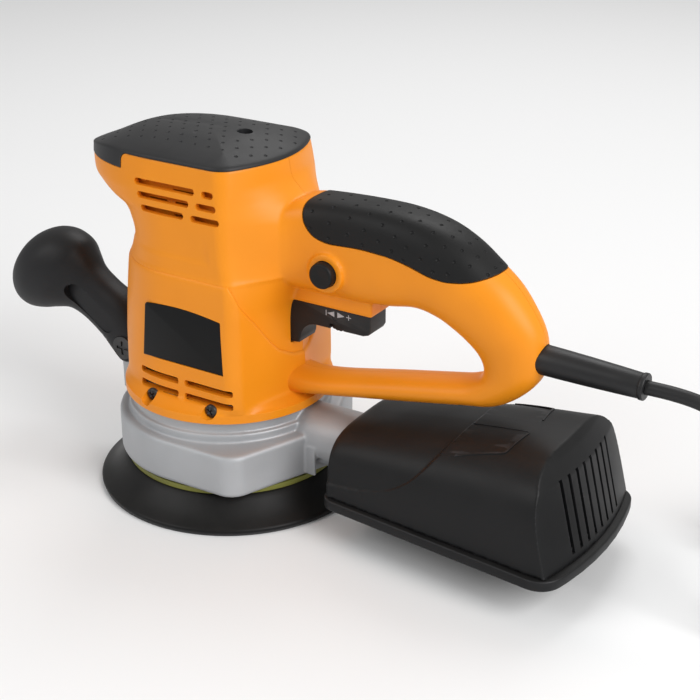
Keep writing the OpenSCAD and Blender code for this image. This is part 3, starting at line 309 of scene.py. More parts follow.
def coilPoints():
    cx, cy = cord["coilCentre"]
    outer, inner, perTurn = cord["outerTurn"], cord["innerTurn"], cord["pointsPerTurn"]
    steps = cord["turns"] * perTurn
    half = cord["diameter"] / 2
    points = []

    def place(turn, radius, z):
        a = math.radians(cord["startTurn"] + turn * 360)
        points.append((cx + radius * math.cos(a), cy + radius * math.sin(a), z))

    for i in range(steps + 1):
        place(i / perTurn, outer + (inner - outer) * i / steps, half)
    climb = perTurn // 2
    for i in range(1, climb + 1):
        t = i / climb
        radius = inner - cord["tuck"] * math.sin(math.pi * t)
        place(cord["turns"] + i / perTurn, radius, half + 2 * half * ease(t))
    start = cord["turns"] + 0.5
    upper = int(cord["upperTurns"] * perTurn)
    for i in range(1, upper + 1):
        rise = ease((i / upper - 0.9) / 0.1) * cord["lift"]
        place(start + i / perTurn, inner + (outer - inner) * i / upper, 3 * half + rise)
    return points


def leadToPlug():
    # leaves the top turn, climbs over it in a quarter circle and runs into the plug
    cx, cy = cord["coilCentre"]
    bend = cord["bend"]
    out = []
    for turn, z in cord["over"]:
        a = math.radians(turn)
        out.append((cx + cord["outerTurn"] - bend * (1 - math.cos(a)), cy + bend * math.sin(a), z))
    out.append(cord["plugEntry"])
    return out


def makeCord():
    points = cord["route"] + coilPoints() + leadToPlug()
    curve = bpy.data.curves.new("supply_cord", "CURVE")
    curve.dimensions = "3D"
    curve.bevel_depth = cord["diameter"] / 2 * mm
    curve.bevel_resolution = 5
    curve.resolution_u = 6
    curve.use_fill_caps = True
    spline = curve.splines.new("BEZIER")
    spline.bezier_points.add(len(points) - 1)
    for i, (bez, p) in enumerate(zip(spline.bezier_points, points)):
        here = Vector(p) * mm
        before = Vector(points[max(i - 1, 0)]) * mm
        after = Vector(points[min(i + 1, len(points) - 1)]) * mm
        along = (after - before).normalized()
        bez.co = here
        bez.handle_left = here - along * (here - before).length / 3
        bez.handle_right = here + along * (after - here).length / 3
    obj = bpy.data.objects.new("supply_cord", curve)
    bpy.context.scene.collection.objects.link(obj)
    return obj


supplyCord = makeCord()
print("cord laid")

# ---- finishes: shared patterns first, then one material for each finish


def patternGroup(name, inputs, outputs):
    group = bpy.data.node_groups.new(name, "ShaderNodeTree")
    for label, value in inputs:
        socket = group.interface.new_socket(name=label, in_out="INPUT", socket_type="NodeSocketFloat")
        socket.default_value = value
    for label in outputs:
        group.interface.new_socket(name=label, in_out="OUTPUT", socket_type="NodeSocketFloat")
    return group, group.nodes.new("NodeGroupInput"), group.nodes.new("NodeGroupOutput")


def addNode(tree, kind, **values):
    node = tree.nodes.new(kind)
    for key, value in values.items():
        if key in node.inputs:
            node.inputs[key].default_value = value
        else:
            setattr(node, key, value)
    return node


def wire(tree, *pairs):
    for source, target in pairs:
        tree.links.new(source, target)


def makeGrain():
    # fine pebbled skin of a spark-eroded mould, with slow blotches of tone
    group, start, end = patternGroup("moulded_grain", [("Scale", 900), ("Blotch", 25)], ["Height", "Tone"])
    place = addNode(group, "ShaderNodeTexCoord")
    cells = addNode(group, "ShaderNodeTexVoronoi", feature="SMOOTH_F1")
    fine = addNode(group, "ShaderNodeTexNoise", Detail=3.0, Roughness=0.6)
    slow = addNode(group, "ShaderNodeTexNoise", Detail=2.0)
    both = addNode(group, "ShaderNodeMath", operation="ADD")
    half = addNode(group, "ShaderNodeMath", operation="MULTIPLY")
    half.inputs[1].default_value = 0.5
    for texture in (cells, fine, slow):
        wire(group, (place.outputs["Object"], texture.inputs["Vector"]))
    wire(group, (start.outputs["Scale"], cells.inputs["Scale"]),
         (start.outputs["Scale"], fine.inputs["Scale"]), (start.outputs["Blotch"], slow.inputs["Scale"]),
         (cells.outputs["Distance"], both.inputs[0]), (fine.outputs["Fac"], both.inputs[1]),
         (both.outputs[0], half.inputs[0]), (half.outputs[0], end.inputs["Height"]),
         (slow.outputs["Fac"], end.inputs["Tone"]))
    return group


def makeWear():
    # corners that hands and benches have rubbed
    group, start, end = patternGroup("rubbed_edges", [("Reach", 0.02), ("Break up", 220)], ["Mask"])
    shape = addNode(group, "ShaderNodeNewGeometry")
    place = addNode(group, "ShaderNodeTexCoord")
    noise = addNode(group, "ShaderNodeTexNoise", Detail=4.0)
    over = addNode(group, "ShaderNodeMath", operation="SUBTRACT")
    over.inputs[1].default_value = 0.53
    gain = addNode(group, "ShaderNodeMath", operation="DIVIDE", use_clamp=True)
    mask = addNode(group, "ShaderNodeMath", operation="MULTIPLY", use_clamp=True)
    wire(group, (shape.outputs["Pointiness"], over.inputs[0]), (over.outputs[0], gain.inputs[0]),
         (start.outputs["Reach"], gain.inputs[1]), (place.outputs["Object"], noise.inputs["Vector"]),
         (start.outputs["Break up"], noise.inputs["Scale"]), (gain.outputs[0], mask.inputs[0]),
         (noise.outputs["Fac"], mask.inputs[1]), (mask.outputs[0], end.inputs["Mask"]))
    return group


def makeDust():
    # fine dust that settles on what faces up
    group, start, end = patternGroup("settled_dust", [("Amount", 0.1), ("Patch", 60)], ["Mask"])
    shape = addNode(group, "ShaderNodeNewGeometry")
    split = addNode(group, "ShaderNodeSeparateXYZ")
    place = addNode(group, "ShaderNodeTexCoord")
    noise = addNode(group, "ShaderNodeTexNoise", Detail=5.0, Roughness=0.7)
    up = addNode(group, "ShaderNodeMath", operation="MULTIPLY", use_clamp=True)
    mask = addNode(group, "ShaderNodeMath", operation="MULTIPLY", use_clamp=True)
    wire(group, (shape.outputs["Normal"], split.inputs[0]), (split.outputs["Z"], up.inputs[0]),
         (start.outputs["Amount"], up.inputs[1]), (place.outputs["Object"], noise.inputs["Vector"]),
         (start.outputs["Patch"], noise.inputs["Scale"]), (up.outputs[0], mask.inputs[0]),
         (noise.outputs["Fac"], mask.inputs[1]), (mask.outputs[0], end.inputs["Mask"]))
    return group


grainGroup, wearGroup, dustGroup = makeGrain(), makeWear(), makeDust()


def tone(tree, below, above, mask):
    # mixes two colours by a mask and gives the socket of the result
    mix = addNode(tree, "ShaderNodeMix", data_type="RGBA")
    for value, socket in ((below, mix.inputs[6]), (above, mix.inputs[7])):
        if isinstance(value, tuple):
            socket.default_value = value + (1,)
        else:
            tree.links.new(value, socket)
    tree.links.new(mask, mix.inputs[0])
    return mix.outputs[2]


def spread(tree, source, low, high, fromLow=0.0, fromHigh=1.0):
    ranged = addNode(tree, "ShaderNodeMapRange")
    ranged.inputs["From Min"].default_value = fromLow
    ranged.inputs["From Max"].default_value = fromHigh
    ranged.inputs["To Min"].default_value = low
    ranged.inputs["To Max"].default_value = high
    tree.links.new(source, ranged.inputs["Value"])
    return ranged.outputs["Result"]


def finish(name, colour, shade, rough, roughEnd, scale=900, depth=0.00002, metal=0.0, wear=None,
           wearReach=0.03, dust=0.0, dustColour=(0.5, 0.45, 0.38), specular=0.5, sheen=0.0, extra=None):
    material = bpy.data.materials.new(name)
    material.use_nodes = True
    tree = material.node_tree
    shader = tree.nodes["Principled BSDF"]
    grain = addNode(tree, "ShaderNodeGroup", node_tree=grainGroup)
    grain.inputs["Scale"].default_value = scale
    colourSocket = tone(tree, shade, colour, spread(tree, grain.outputs["Tone"], 0, 1, 0.35, 0.65))
    roughSocket = spread(tree, grain.outputs["Tone"], rough, roughEnd, 0.3, 0.7)
    height = grain.outputs["Height"]
    if extra:
        colourSocket, height = extra(tree, colourSocket, height)
    if wear:
        rubbed = addNode(tree, "ShaderNodeGroup", node_tree=wearGroup)
        rubbed.inputs["Reach"].default_value = wearReach
        colourSocket = tone(tree, colourSocket, wear, rubbed.outputs["Mask"])
    if dust:
        settled = addNode(tree, "ShaderNodeGroup", node_tree=dustGroup)
        settled.inputs["Amount"].default_value = dust
        colourSocket = tone(tree, colourSocket, dustColour, settled.outputs["Mask"])
    bump = addNode(tree, "ShaderNodeBump", Strength=1.0, Distance=depth)
    wire(tree, (colourSocket, shader.inputs["Base Color"]), (roughSocket, shader.inputs["Roughness"]),
         (height, bump.inputs["Height"]), (bump.outputs["Normal"], shader.inputs["Normal"]))
    shader.inputs["Metallic"].default_value = metal
    shader.inputs["Specular IOR Level"].default_value = specular
    shader.inputs["Sheen Weight"].default_value = sheen
    return material


def stripes(axis, scale, dark, share=0.5):
    # thin bands along one axis, as in stacked sheets or wound wire
    def add(tree, colour, height):
        place = addNode(tree, "ShaderNodeTexCoord")
        wave = addNode(tree, "ShaderNodeTexWave", wave_type="BANDS", bands_direction=axis)
        wave.inputs["Scale"].default_value = scale
        wave.inputs["Distortion"].default_value = 0.4
        wire(tree, (place.outputs["Object"], wave.inputs["Vector"]))
        sharp = spread(tree, wave.outputs["Fac"], 0, 1, share - 0.2, share + 0.2)
        return tone(tree, dark, colour, sharp), wave.outputs["Fac"]
    return add


finishes = {
    "orange": dict(
        colour=(0.83, 0.272, 0.008), shade=(0.79, 0.255, 0.006), rough=0.38, roughEnd=0.48, scale=1500,
        depth=0.000012, dust=0.02, dustColour=(0.8, 0.5, 0.3), specular=0.3),
    "softBlack": dict(
        colour=(0.017, 0.0175, 0.019), shade=(0.013, 0.0133, 0.0148), rough=0.46, roughEnd=0.58, scale=2400,
        depth=0.00003, wear=(0.04, 0.04, 0.042), dust=0.03, specular=0.32),
    "gripBlack": dict(
        colour=(0.0055, 0.0057, 0.006), shade=(0.0042, 0.0044, 0.0047), rough=0.46, roughEnd=0.6,
        scale=2400, depth=0.00003, wear=(0.025, 0.025, 0.027), dust=0.015, specular=0.26),
    "badgeBlack": dict(
        colour=(0.004, 0.0042, 0.0045), shade=(0.0033, 0.0034, 0.0037), rough=0.3, roughEnd=0.4, scale=2600,
        depth=0.000004, specular=0.16),
    "controlBlack": dict(
        colour=(0.01, 0.01, 0.0105), shade=(0.0075, 0.0075, 0.008), rough=0.42, roughEnd=0.52, scale=2200,
        depth=0.00003, wear=(0.04, 0.04, 0.04), specular=0.28),
    "handleBlack": dict(
        colour=(0.0115, 0.0113, 0.0128), shade=(0.0085, 0.0085, 0.0095), rough=0.44, roughEnd=0.56,
        scale=1500, depth=0.00006, wear=(0.035, 0.035, 0.038), dust=0.02, specular=0.28),
    "boxBlack": dict(
        colour=(0.008, 0.0082, 0.009), shade=(0.006, 0.0062, 0.0068), rough=0.42, roughEnd=0.54, scale=1700,
        depth=0.00003, wear=(0.045, 0.045, 0.048), dust=0.02, specular=0.22),
    "padRubber": dict(
        colour=(0.005, 0.005, 0.0054), shade=(0.0038, 0.0038, 0.0042), rough=0.36, roughEnd=0.5, scale=500,
        depth=0.00003, dust=0.03, specular=0.22),
    "hookNylon": dict(
        colour=(0.03, 0.03, 0.031), shade=(0.015, 0.015, 0.016), rough=0.85, roughEnd=0.95, scale=1400,
        depth=0.0004, sheen=0.2),
    "glassFibre": dict(
        colour=(0.2, 0.2, 0.035), shade=(0.14, 0.14, 0.022), rough=0.45, roughEnd=0.6, scale=700,
        depth=0.00004),
    "castAlloy": dict(
        colour=(0.44, 0.45, 0.465), shade=(0.38, 0.39, 0.405), rough=0.48, roughEnd=0.6, scale=700,
        depth=0.00008, metal=0.4, wear=(0.62, 0.62, 0.62), wearReach=0.05, dust=0.03),
    "blackScrew": dict(
        colour=(0.012, 0.012, 0.013), shade=(0.007, 0.007, 0.0075), rough=0.34, roughEnd=0.46, scale=3000,
        depth=0.00001, metal=0.2, wear=(0.06, 0.06, 0.06)),
    "zincSteel": dict(
        colour=(0.6, 0.6, 0.58), shade=(0.52, 0.53, 0.52), rough=0.25, roughEnd=0.4, metal=1.0, scale=2500,
        depth=0.00001),
    "groundSteel": dict(
        colour=(0.6, 0.6, 0.62), shade=(0.5, 0.5, 0.52), rough=0.18, roughEnd=0.3, metal=1.0,
        extra=stripes("Z", 900, (0.45, 0.45, 0.47))),
    "springSteel": dict(
        colour=(0.42, 0.42, 0.44), shade=(0.3, 0.3, 0.32), rough=0.3, roughEnd=0.4, metal=1.0),
    "laminations": dict(
        colour=(0.28, 0.29, 0.31), shade=(0.22, 0.23, 0.25), rough=0.4, roughEnd=0.55, metal=0.8,
        depth=0.0001, extra=stripes("Z", 320, (0.08, 0.08, 0.09), 0.3)),
    "copperWire": dict(
        colour=(0.62, 0.22, 0.08), shade=(0.48, 0.15, 0.05), rough=0.3, roughEnd=0.42, metal=0.8,
        depth=0.0003, extra=stripes("DIAGONAL", 240, (0.2, 0.06, 0.02), 0.35)),
    "brass": dict(colour=(0.7, 0.5, 0.2), shade=(0.6, 0.42, 0.17), rough=0.25, roughEnd=0.4, metal=1.0),
    "commutatorCopper": dict(
        colour=(0.75, 0.34, 0.18), shade=(0.6, 0.26, 0.13), rough=0.3, roughEnd=0.45, metal=1.0),
    "carbon": dict(colour=(0.035, 0.035, 0.038), shade=(0.02, 0.02, 0.021), rough=0.5, roughEnd=0.7),
    "switchBlack": dict(colour=(0.035, 0.037, 0.04), shade=(0.028, 0.03, 0.032), rough=0.4, roughEnd=0.5),
    "circuitGreen": dict(
        colour=(0.02, 0.12, 0.05), shade=(0.012, 0.08, 0.03), rough=0.35, roughEnd=0.5,
        extra=stripes("X", 90, (0.3, 0.22, 0.08), 0.15)),
    "filmYellow": dict(colour=(0.72, 0.5, 0.08), shade=(0.62, 0.42, 0.06), rough=0.3, roughEnd=0.4),
    "felt": dict(
        colour=(0.34, 0.34, 0.32), shade=(0.24, 0.24, 0.22), rough=0.9, roughEnd=1.0, scale=1100,
        depth=0.0003, sheen=0.3),
    "cordRubber": dict(
        colour=(0.0095, 0.0095, 0.0105), shade=(0.007, 0.007, 0.0078), rough=0.4, roughEnd=0.52, scale=1500,
        depth=0.00004, dust=0.02, specular=0.4),
    "nickel": dict(
        colour=(0.7, 0.69, 0.66), shade=(0.62, 0.61, 0.58), rough=0.15, roughEnd=0.28, metal=1.0),
    "sealRubber": dict(colour=(0.02, 0.02, 0.02), shade=(0.013, 0.013, 0.013), rough=0.55, roughEnd=0.7),
    "printGrey": dict(colour=(0.42, 0.42, 0.43), shade=(0.33, 0.33, 0.34), rough=0.6, roughEnd=0.7),
}
materials = {}
for key, values in finishes.items():
    materials[key] = finish(key, **values)
print("materials mixed", len(materials))


def dress(obj, key):
    obj.data.materials.clear()
    obj.data.materials.append(materials[key])
    return obj


def hand(obj, body, slotName, *stoodFor):
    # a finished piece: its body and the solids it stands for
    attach(obj, body)
    if stoodFor:
        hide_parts(*stoodFor)
    return obj


# the finish of each solid of the record, until a dressed piece stands for it
cadFinishes = {
    "switchBlack": ["switch_body", "motor_fan", "cord_clamp"],
    "circuitGreen": ["speed_module"],
    "filmYellow": ["capacitor"],
    "laminations": ["field_core", "armature_core"],
    "copperWire": ["field_coils", "armature_windings"],
    "brass": ["brush_holders"],
    "carbon": ["carbon_brushes"],
    "springSteel": ["brush_springs", "trigger_spring"],
    "groundSteel": ["upper_bearing", "lower_bearing", "armature_shaft", "pad_bearing", "pad_spindle"],
    "commutatorCopper": ["commutator"],
    "castAlloy": ["dust_fan", "gear_housing"],
    "blackScrew": ["pad_screw", "handle_bolt", "base_screws", "case_screws", "cap_screws"],
    "sealRubber": ["pad_brake_ring", "tube_seal"],
    "zincSteel": ["handle_nut"],
    "felt": ["dust_filter"],
    "nickel": ["plug_pins"],
    "controlBlack": ["coil_tie", "lock_button", "trigger", "speed_wheel"],
    "orange": ["housing_left", "housing_right"],
    "softBlack": ["top_cap"],
    "gripBlack": ["handle_grip"],
    "badgeBlack": ["badge_plates"],
    "glassFibre": ["pad_plate"],
    "padRubber": ["pad_foam"],
    "hookNylon": ["hook_facing"],
    "handleBlack": ["front_handle"],
    "boxBlack": ["dust_hood", "dust_tray"],
    "cordRubber": ["strain_relief", "mains_plug"],
}
for key, names in cadFinishes.items():
    for name in names:
        dress(nodes[name], key)

dress(supplyCord, "cordRubber")
hand(supplyCord, "machine", "cord_rubber", "cord_lead", "cord_coil")

# ---- motor housing: body, rear handle and skirt

shell = {
    "footZ": 56, "creaseZ": 132, "capZ": 189, "noseTop": 181, "stepX": -35, "stepRound": 4, "wall": 3,
    "gap": 0.3, "footRadius": 57, "ledge": 1.2, "ledgeRow": 131.4, "voxel": 0.8,
    # the shallow flat on the sides: depth, where it starts and over how much it sinks, the same for
    # where it runs out above and in front
    "flat": 0.55, "flatFrom": (140, 2.5), "flatUp": (143, 17), "flatAhead": (19, 5),
    # half width and height of the ledge on the rear face
    "fold": [(0, 84.5), (7.4, 85.5), (16.6, 90.5), (22, 96.3), (28, 104.3), (38, 117.5), (43, 128),
             (45.5, 132)],
    "foldFrom": 25,
    # levels up the foot and its lip, then heights and insets from the ledge's top down its edge
    "lipLevels": [56, 56.3, 56.8, 58, 59.4, 60.2, 60.6, 61, 61.5, 62, 62.7, 63.5, 64.5, 66, 68, 70],
    "ledgeEdge": [(-2.2, 0), (-1.4, 0.12), (-0.8, 0.35), (-0.35, 0.7), (-0.1, 1.1), (0, 1.6), (0, 2.4),
                  (-4, 9)],
    # height, nose, start of flat side, half width, roundness of front, corner reach, corner radius,
    # reach of rear seam, bow of rear face, share of the round foot
    "rows": [
        (56, 56, -5, 47, 2.12, 40.5, 10, 50.5, 1, 0.99), (56.8, 57, -5, 47, 2.12, 40.5, 10, 50.5, 1, 1),
        (60.5, 57, -5, 47, 2.12, 40.5, 10, 50.5, 1, 1),
        (61.1, 56.7, -5, 47.3, 2.12, 40.5, 10, 50.5, 1, 0.8),
        (62.7, 56.7, -5, 47.3, 2.12, 40.5, 10, 50.5, 1, 0.45),
        (65, 56.7, -5, 47.3, 2.12, 40.5, 10, 50.5, 1, 0.06),
        (68, 56.7, -5, 47.3, 2.12, 40.5, 10, 50.5, 1, 0.01), (83, 56.5, -5, 47, 2.12, 40, 9, 50, 1, 0),
        (103, 54.7, -5, 46.9, 2.12, 40, 9, 50, 1, 0), (112, 53.7, -5, 46.6, 2.12, 40, 8.5, 51, 1, 0),
        (120, 52.7, -5, 46.3, 2.12, 39.6, 8, 55, 1, 0), (131.4, 50.8, -5, 45.8, 2.12, 38.8, 8, 62, 1, 0),
        (132.6, 49.8, -5, 44.6, 2.12, 37.8, 8.5, 63, 1, 0), (144, 46.6, -5, 44, 2.12, 36, 9, 66, 1, 0),
        (155, 50.2, -5, 43.3, 2.12, 35.3, 9.5, 68, 1, 0), (160, 54.7, -6, 43, 2.12, 35.2, 10, 67, 1, 0),
        (164, 64, -10, 42.7, 2.12, 35.2, 10, 64, 1, 0),
        (168.5, 70.7, -12, 42.4, 2.12, 34.8, 10, 57, 1.15, 0),
        (173, 74.7, -15, 42, 2.12, 34.6, 10, 50, 1.4, 0),
        (180, 75.8, -15, 41, 2.12, 34.4, 10.5, 43.6, 1.8, 0),
        (189, 76, -15, 39.9, 2.12, 34, 12, 41.8, 2, 0)],
}

control = {
    "half": 7.9, "skirt": 116.4, "skirtEnds": (40, 96.3), "skirtWall": 1.5, "skirtTop": 130, "play": 0.3,
    "nose": 45.5, "top": 118.7, "tail": 95, "finger": (62.3, 94.7, 9.9), "pin": 2,
    "wheel": (74.5, 111.7), "wheelRadius": 8.7, "wheelHalf": 5, "notches": 24, "notch": 0.7,
    # ends along the lever and upper edge of the window in which the wheel shows
    "window": (70.7, 79.2, 107.6),
    # the hollow of the lever: ends, floor and top; the room of the wheel: half length, foot and gap
    "leverRoom": (52, 93, 109.5, 122), "leverWall": 1.5, "wheelRoom": (11, 98, 0.6),
    # in the housing: ends and foot of the space under the skirt; start, foot and top of the slot
    "underSkirt": (51.6, 101, 95), "slot": (42, 91.2, 130),
}

grip = {
    "proud": 0.3, "depth": 1.6, "voxel": 0.55, "dot": 1.15, "dotPitch": 7.4, "dotTurn": 18, "dotReach": 81,
    # outer edge, inner edge, half width and squareness of the section, from the neck round to the foot
    "rows": [
        (42, 168.5, 42, 124, 27, 3), (50, 170.5, 50, 124, 21, 3.2), (60, 172.5, 60, 124, 18, 3.6),
        (87, 174, 87, 124, 17, 3.7), (112, 174, 105, 124.3, 17.5, 3.2),
        (131.6, 170.7, 121, 126.6, 17.8, 2.8), (147, 164.4, 133, 124, 17.6, 2.5),
        (159.3, 156, 142.8, 119, 16.9, 2.4), (171, 147, 150, 113.8, 16.2, 2.3),
        (180, 136.4, 154.6, 108.8, 15, 2.2), (186.3, 125.6, 156.6, 104.2, 13.6, 2.2),
        (188.2, 115, 156.8, 100.6, 13, 2.2), (186.8, 103.5, 155, 97.4, 12.5, 2.2),
        (178.5, 92.5, 150.3, 95.6, 12.3, 2.1), (166, 83.8, 145, 94, 12.3, 2.1),
        (150, 80.3, 136, 92, 12.3, 2.1), (117, 73.8, 105, 85.6, 12.2, 2.1), (75, 66, 72, 78.4, 12.2, 2.1),
        (56, 62.6, 56, 76.5, 12.3, 2.2), (44, 61, 44, 77.5, 12.6, 2.3)],
    # the outline of the soft part, seen from the side
    "line": [
        (59, 176), (59.5, 168), (62, 161.5), (67, 156.5), (75, 154), (93, 155), (111, 154.3), (122, 152),
        (133, 148.6), (142, 147.8), (153, 149), (166, 153.2), (185, 165), (170, 185), (80, 190)],
}


def sideOutline(row, inset=0.0, fine=3):
    # half of the level outline, from the nose round one side to the rear seam
    _, nose, flat, width, power, corner, radius, rear, bow, foot = row
    front, width, corner = -(nose - inset), width - inset, corner - inset
    radius, rear = max(radius - inset, 1), rear - inset
    noseSteps, sideSteps, cornerSteps, rearSteps = 13 * fine, 3 * fine, 4 * fine, 6 * fine
    points = []
    for k in range(noseSteps + 1):
        a = math.radians(90 * k / noseSteps)
        points.append((flat - (flat - front) * max(math.cos(a), 0) ** (2 / power),
                       width * math.sin(a) ** (2 / power)))
    middle, across = corner - radius, width - radius
    for k in range(1, sideSteps + 1):
        points.append((flat + (middle - flat) * k / sideSteps, width))
    # the corner turns only as far as the line or bow that runs from it to the rear seam
    stop = 0.5
    for k in range(12):
        x0, y0 = middle + radius * math.cos(stop), across + radius * math.sin(stop)
        stop = max(math.atan2(bow * (rear - x0), y0), 0)
    points += arc(middle, across, radius, 90, math.degrees(stop), cornerSteps)[1:]
    x0, y0 = points[-1]
    for k in range(1, rearSteps + 1):
        t = k / rearSteps
        points.append((x0 + (rear - x0) * (1 - (1 - t) ** bow), y0 * (1 - t)))
    if foot:
        reach = shell["footRadius"] - inset
        for k, (x, y) in enumerate(points):
            stretch = 1 + (reach / math.hypot(x, y) - 1) * foot
            points[k] = (x * stretch, y * stretch)
    return points


def mirrored(half):
    return half + [(p[0], -p[1]) + tuple(p[2:]) for p in half[-2:0:-1]]


def bodyRow(z):
    return evenRows(shell["rows"], z)


def fade(at, plan):
    # rises from nought to one over a length that starts at a place
    start, length = plan
    return ease((at - start) / length)


def bodySkin(name, low, high, inset, step=1.0, fine=3, ledged=False):
    rings = []
    count = max(2, round((high - low) / step))
    for i in range(count + 1):
        z = low + (high - low) * i / count
        row = bodyRow(min(max(z, shell["footZ"]), shell["capZ"]))
        extra = inset + (shell["ledge"] if ledged and z < shell["creaseZ"] else 0)
        half = sideOutline(row, extra, fine)
        dip = shell["flat"] * fade(z, shell["flatFrom"]) * (1 - fade(z, shell["flatUp"])) if ledged else 0
        if dip:
            # a shallow flat that starts at a soft ledge above the crease and runs out towards the vents
            sunk = sideOutline(row, extra + dip, fine)
            for k, ((x, y), (u, v)) in enumerate(zip(half, sunk)):
                share = 1 - fade(x, shell["flatAhead"])
                half[k] = (x + (u - x) * share, y + (v - y) * share)
        rings.append([(x, y, z) for x, y in mirrored(half)])
    return skin(name, rings)


def foldHeight(x, y):
    # height of the ledge round the body: level on the sides, falling to the seam on the rear face
    if x < shell["foldFrom"]:
        return shell["creaseZ"]
    table = shell["fold"]
    y = abs(y)
    for (y0, z0), (y1, z1) in zip(table, table[1:]):
        if y <= y1:
            return z0 + (z1 - z0) * (y - y0) / (y1 - y0)
    return shell["creaseZ"]


def lowerShell():
    # the proud lower part of the body, with a crisp ledge along its top
    fine, upLevels, straight = 4, 30, 2.4
    tops = [foldHeight(x, y) for x, y in sideOutline(bodyRow(100), 0, fine)]
    lip = shell["lipLevels"][-1]
    rings = []

    def ring(heights, inset):
        half = []
        for k, z in enumerate(heights):
            x, y = sideOutline(bodyRow(min(z, shell["ledgeRow"])), inset, fine)[k]
            half.append((x, y, z))
        rings.append(mirrored(half))

    for z in shell["lipLevels"]:
        ring([z] * len(tops), 0)
    for i in range(1, upLevels):
        ring([lip + (top - straight - lip) * i / upLevels for top in tops], 0)
    for down, inset in shell["ledgeEdge"]:
        ring([top + down for top in tops], inset)
    return skin("lower_shell", rings)


def sectionRing(row, inset, count=64):
    # a section of the handle between its outer and its inner edge
    outer, inner = Vector((row[0], row[1])), Vector((row[2], row[3]))
    middle, half = (outer + inner) / 2, (outer - inner).length / 2
    across = (outer - inner).normalized()
    width, power = row[4] - inset, 2 / row[5]
    ring = []
    for k in range(count):
        a = math.tau * k / count
        s, c = math.sin(a), math.cos(a)
        u = (half - inset) * math.copysign(abs(c) ** power, c)
        v = width * math.copysign(abs(s) ** power, s)
        ring.append((middle.x + across.x * u, v, middle.y + across.y * u))
    return ring


def handleSkin(name, inset, steps=6, count=64):
    return skin(name, [sectionRing(row, inset, count) for row in throughRows(grip["rows"], steps)])


def skirtBlock():
    half = control["half"] + control["skirtWall"]
    x0, x1 = control["skirtEnds"]
    corners = [(x0, -half), (x1, -half), (x1, half), (x0, half)]
    return plate("skirt", rounded(corners, 1.2, 5), control["skirt"], control["skirtTop"])


def alongY(name, x, z, radius, y0, y1, sides=48, endRadius=None):
    return rod(name, (x, y0, z), (x, y1, z), radius, sides, endRadius=endRadius)


vents = {
    # height and corner radius of the slots, then height and ends of each slot, in rows
    "low": (3.7, 1.3, [(66, [(-25, 2), (6, 36)]), (73.4, [(-25, 2), (6, 36)])]),
    "high": (3.5, 1.7, [(176.5, [(-24.7, 13.4), (17.7, 25)]), (170, [(-22.7, 10.2), (14.5, 26.8)]),
                        (163.3, [(-20.7, 7), (11.3, 28.6)])]),
    "through": (37.5, 62),
}
seats = {"screws": [(-14.7, 61.8), (23.6, 62)], "radius": 3.75, "floor": 47.2, "boss": 5.4, "bossIn": 43}
button = {
    "place": (75.3, 139.2), "radius": 6.7, "ring": 3.4, "ringTo": -19.7, "gap": 0.35,
    "from": -23.7, "to": -14.6, "dish": 26, "dishDeep": 0.5,
}
badge = {
    "low": 83.3, "high": 114, "left": -18, "right": 30.5, "thick": 1, "seat": 45.8, "gap": 0.25, "soft": 0.35,
    # how far the upper edge bows up and how far it falls to the right
    "bow": 1.6, "fall": 1.2,
}


def slotBlock(name, x0, x1, z, height, radius, y0, y1):
    left, right = x0 + radius, x1 - radius
    low, high = z - height / 2 + radius, z + height / 2 - radius
    points = []
    for cx, cz, turn in ((right, low, -90), (right, high, 0), (left, high, 90), (left, low, 180)):
        points += arc(cx, cz, radius, turn, turn + 90, 6)
    return slab(name, points, y0, y1)


def badgeOutline(grow=0.0):
    # a plate with slanting sides and a bowed upper edge
    left, right, low, high = badge["left"], badge["right"], badge["low"], badge["high"]
    points = [(left - 3, low), (right + 0.5, low), (right - 0.5, high - 2)]
    start, stop = right - 1.5, left + 1
    for k in range(17):
        t = k / 16
        z = high - 0.5 + badge["bow"] * math.sin(math.pi * t) - badge["fall"] * (1 - t)
        points.append((start + (stop - start) * t, z))
    points.append((left, high - 1.5))
    midX, midZ = (left + right) / 2, (low + high) / 2
    return [(x + math.copysign(grow, x - midX), z + math.copysign(grow, z - midZ)) for x, z in points]


def cutVents(body):
    near, far = vents["through"]
    for group in ("low", "high"):
        height, corner, rows = vents[group]
        for z, spans in rows:
            for x0, x1 in spans:
                for side in (-1, 1):
                    carve(body, slotBlock("slot", x0, x1, z, height, corner, side * near, side * far))


def shellRoom():
    # the hollow of the body, which leaves the screw bosses of the foot standing
    room = bodySkin("room", 55, 190, shell["wall"], 4, 1)
    for x, z in seats["screws"]:
        for side in (-1, 1):
            carve(room, alongY("boss", x, z, seats["boss"], side * seats["bossIn"], side * 60, 32))
    return room


ribPlan = {
    # the pocket of the upper bearing and the webs that hold it
    "pocket": (174, 187, 14), "bearing": (176, 11.1), "shaftWay": 5, "webs": (0, 60, 120),
    "webHalf": 1.25, "web": (176, 183),
    # a wall behind the upper vents: y, then lower and upper corner, then the gaps in it
    "wallY": (34.5, 36), "wall": ((-34, 157), (34, 181.5)), "gapHigh": 1.1,
    "gaps": [(174.2, (-4, 13)), (167.7, (-20, -8)), (167.7, (-3, 10)), (161, (-4, 7))],
    # a closed box behind the lower vents and the room in it
    "boxY": (41.6, 46), "box": ((-27.5, 63.8), (38.5, 79)),
    "roomY": (42.7, 50), "room": ((-26, 64.7), (37, 77.6)),
}


def sideBox(name, side, span, corners):
    # a box on one side of the middle, from its span in y and its two corners in x and z
    near, far = sorted(side * y for y in span)
    (x0, z0), (x1, z1) = corners
    return box(name, (x0, near, z0), (x1, far, z1))


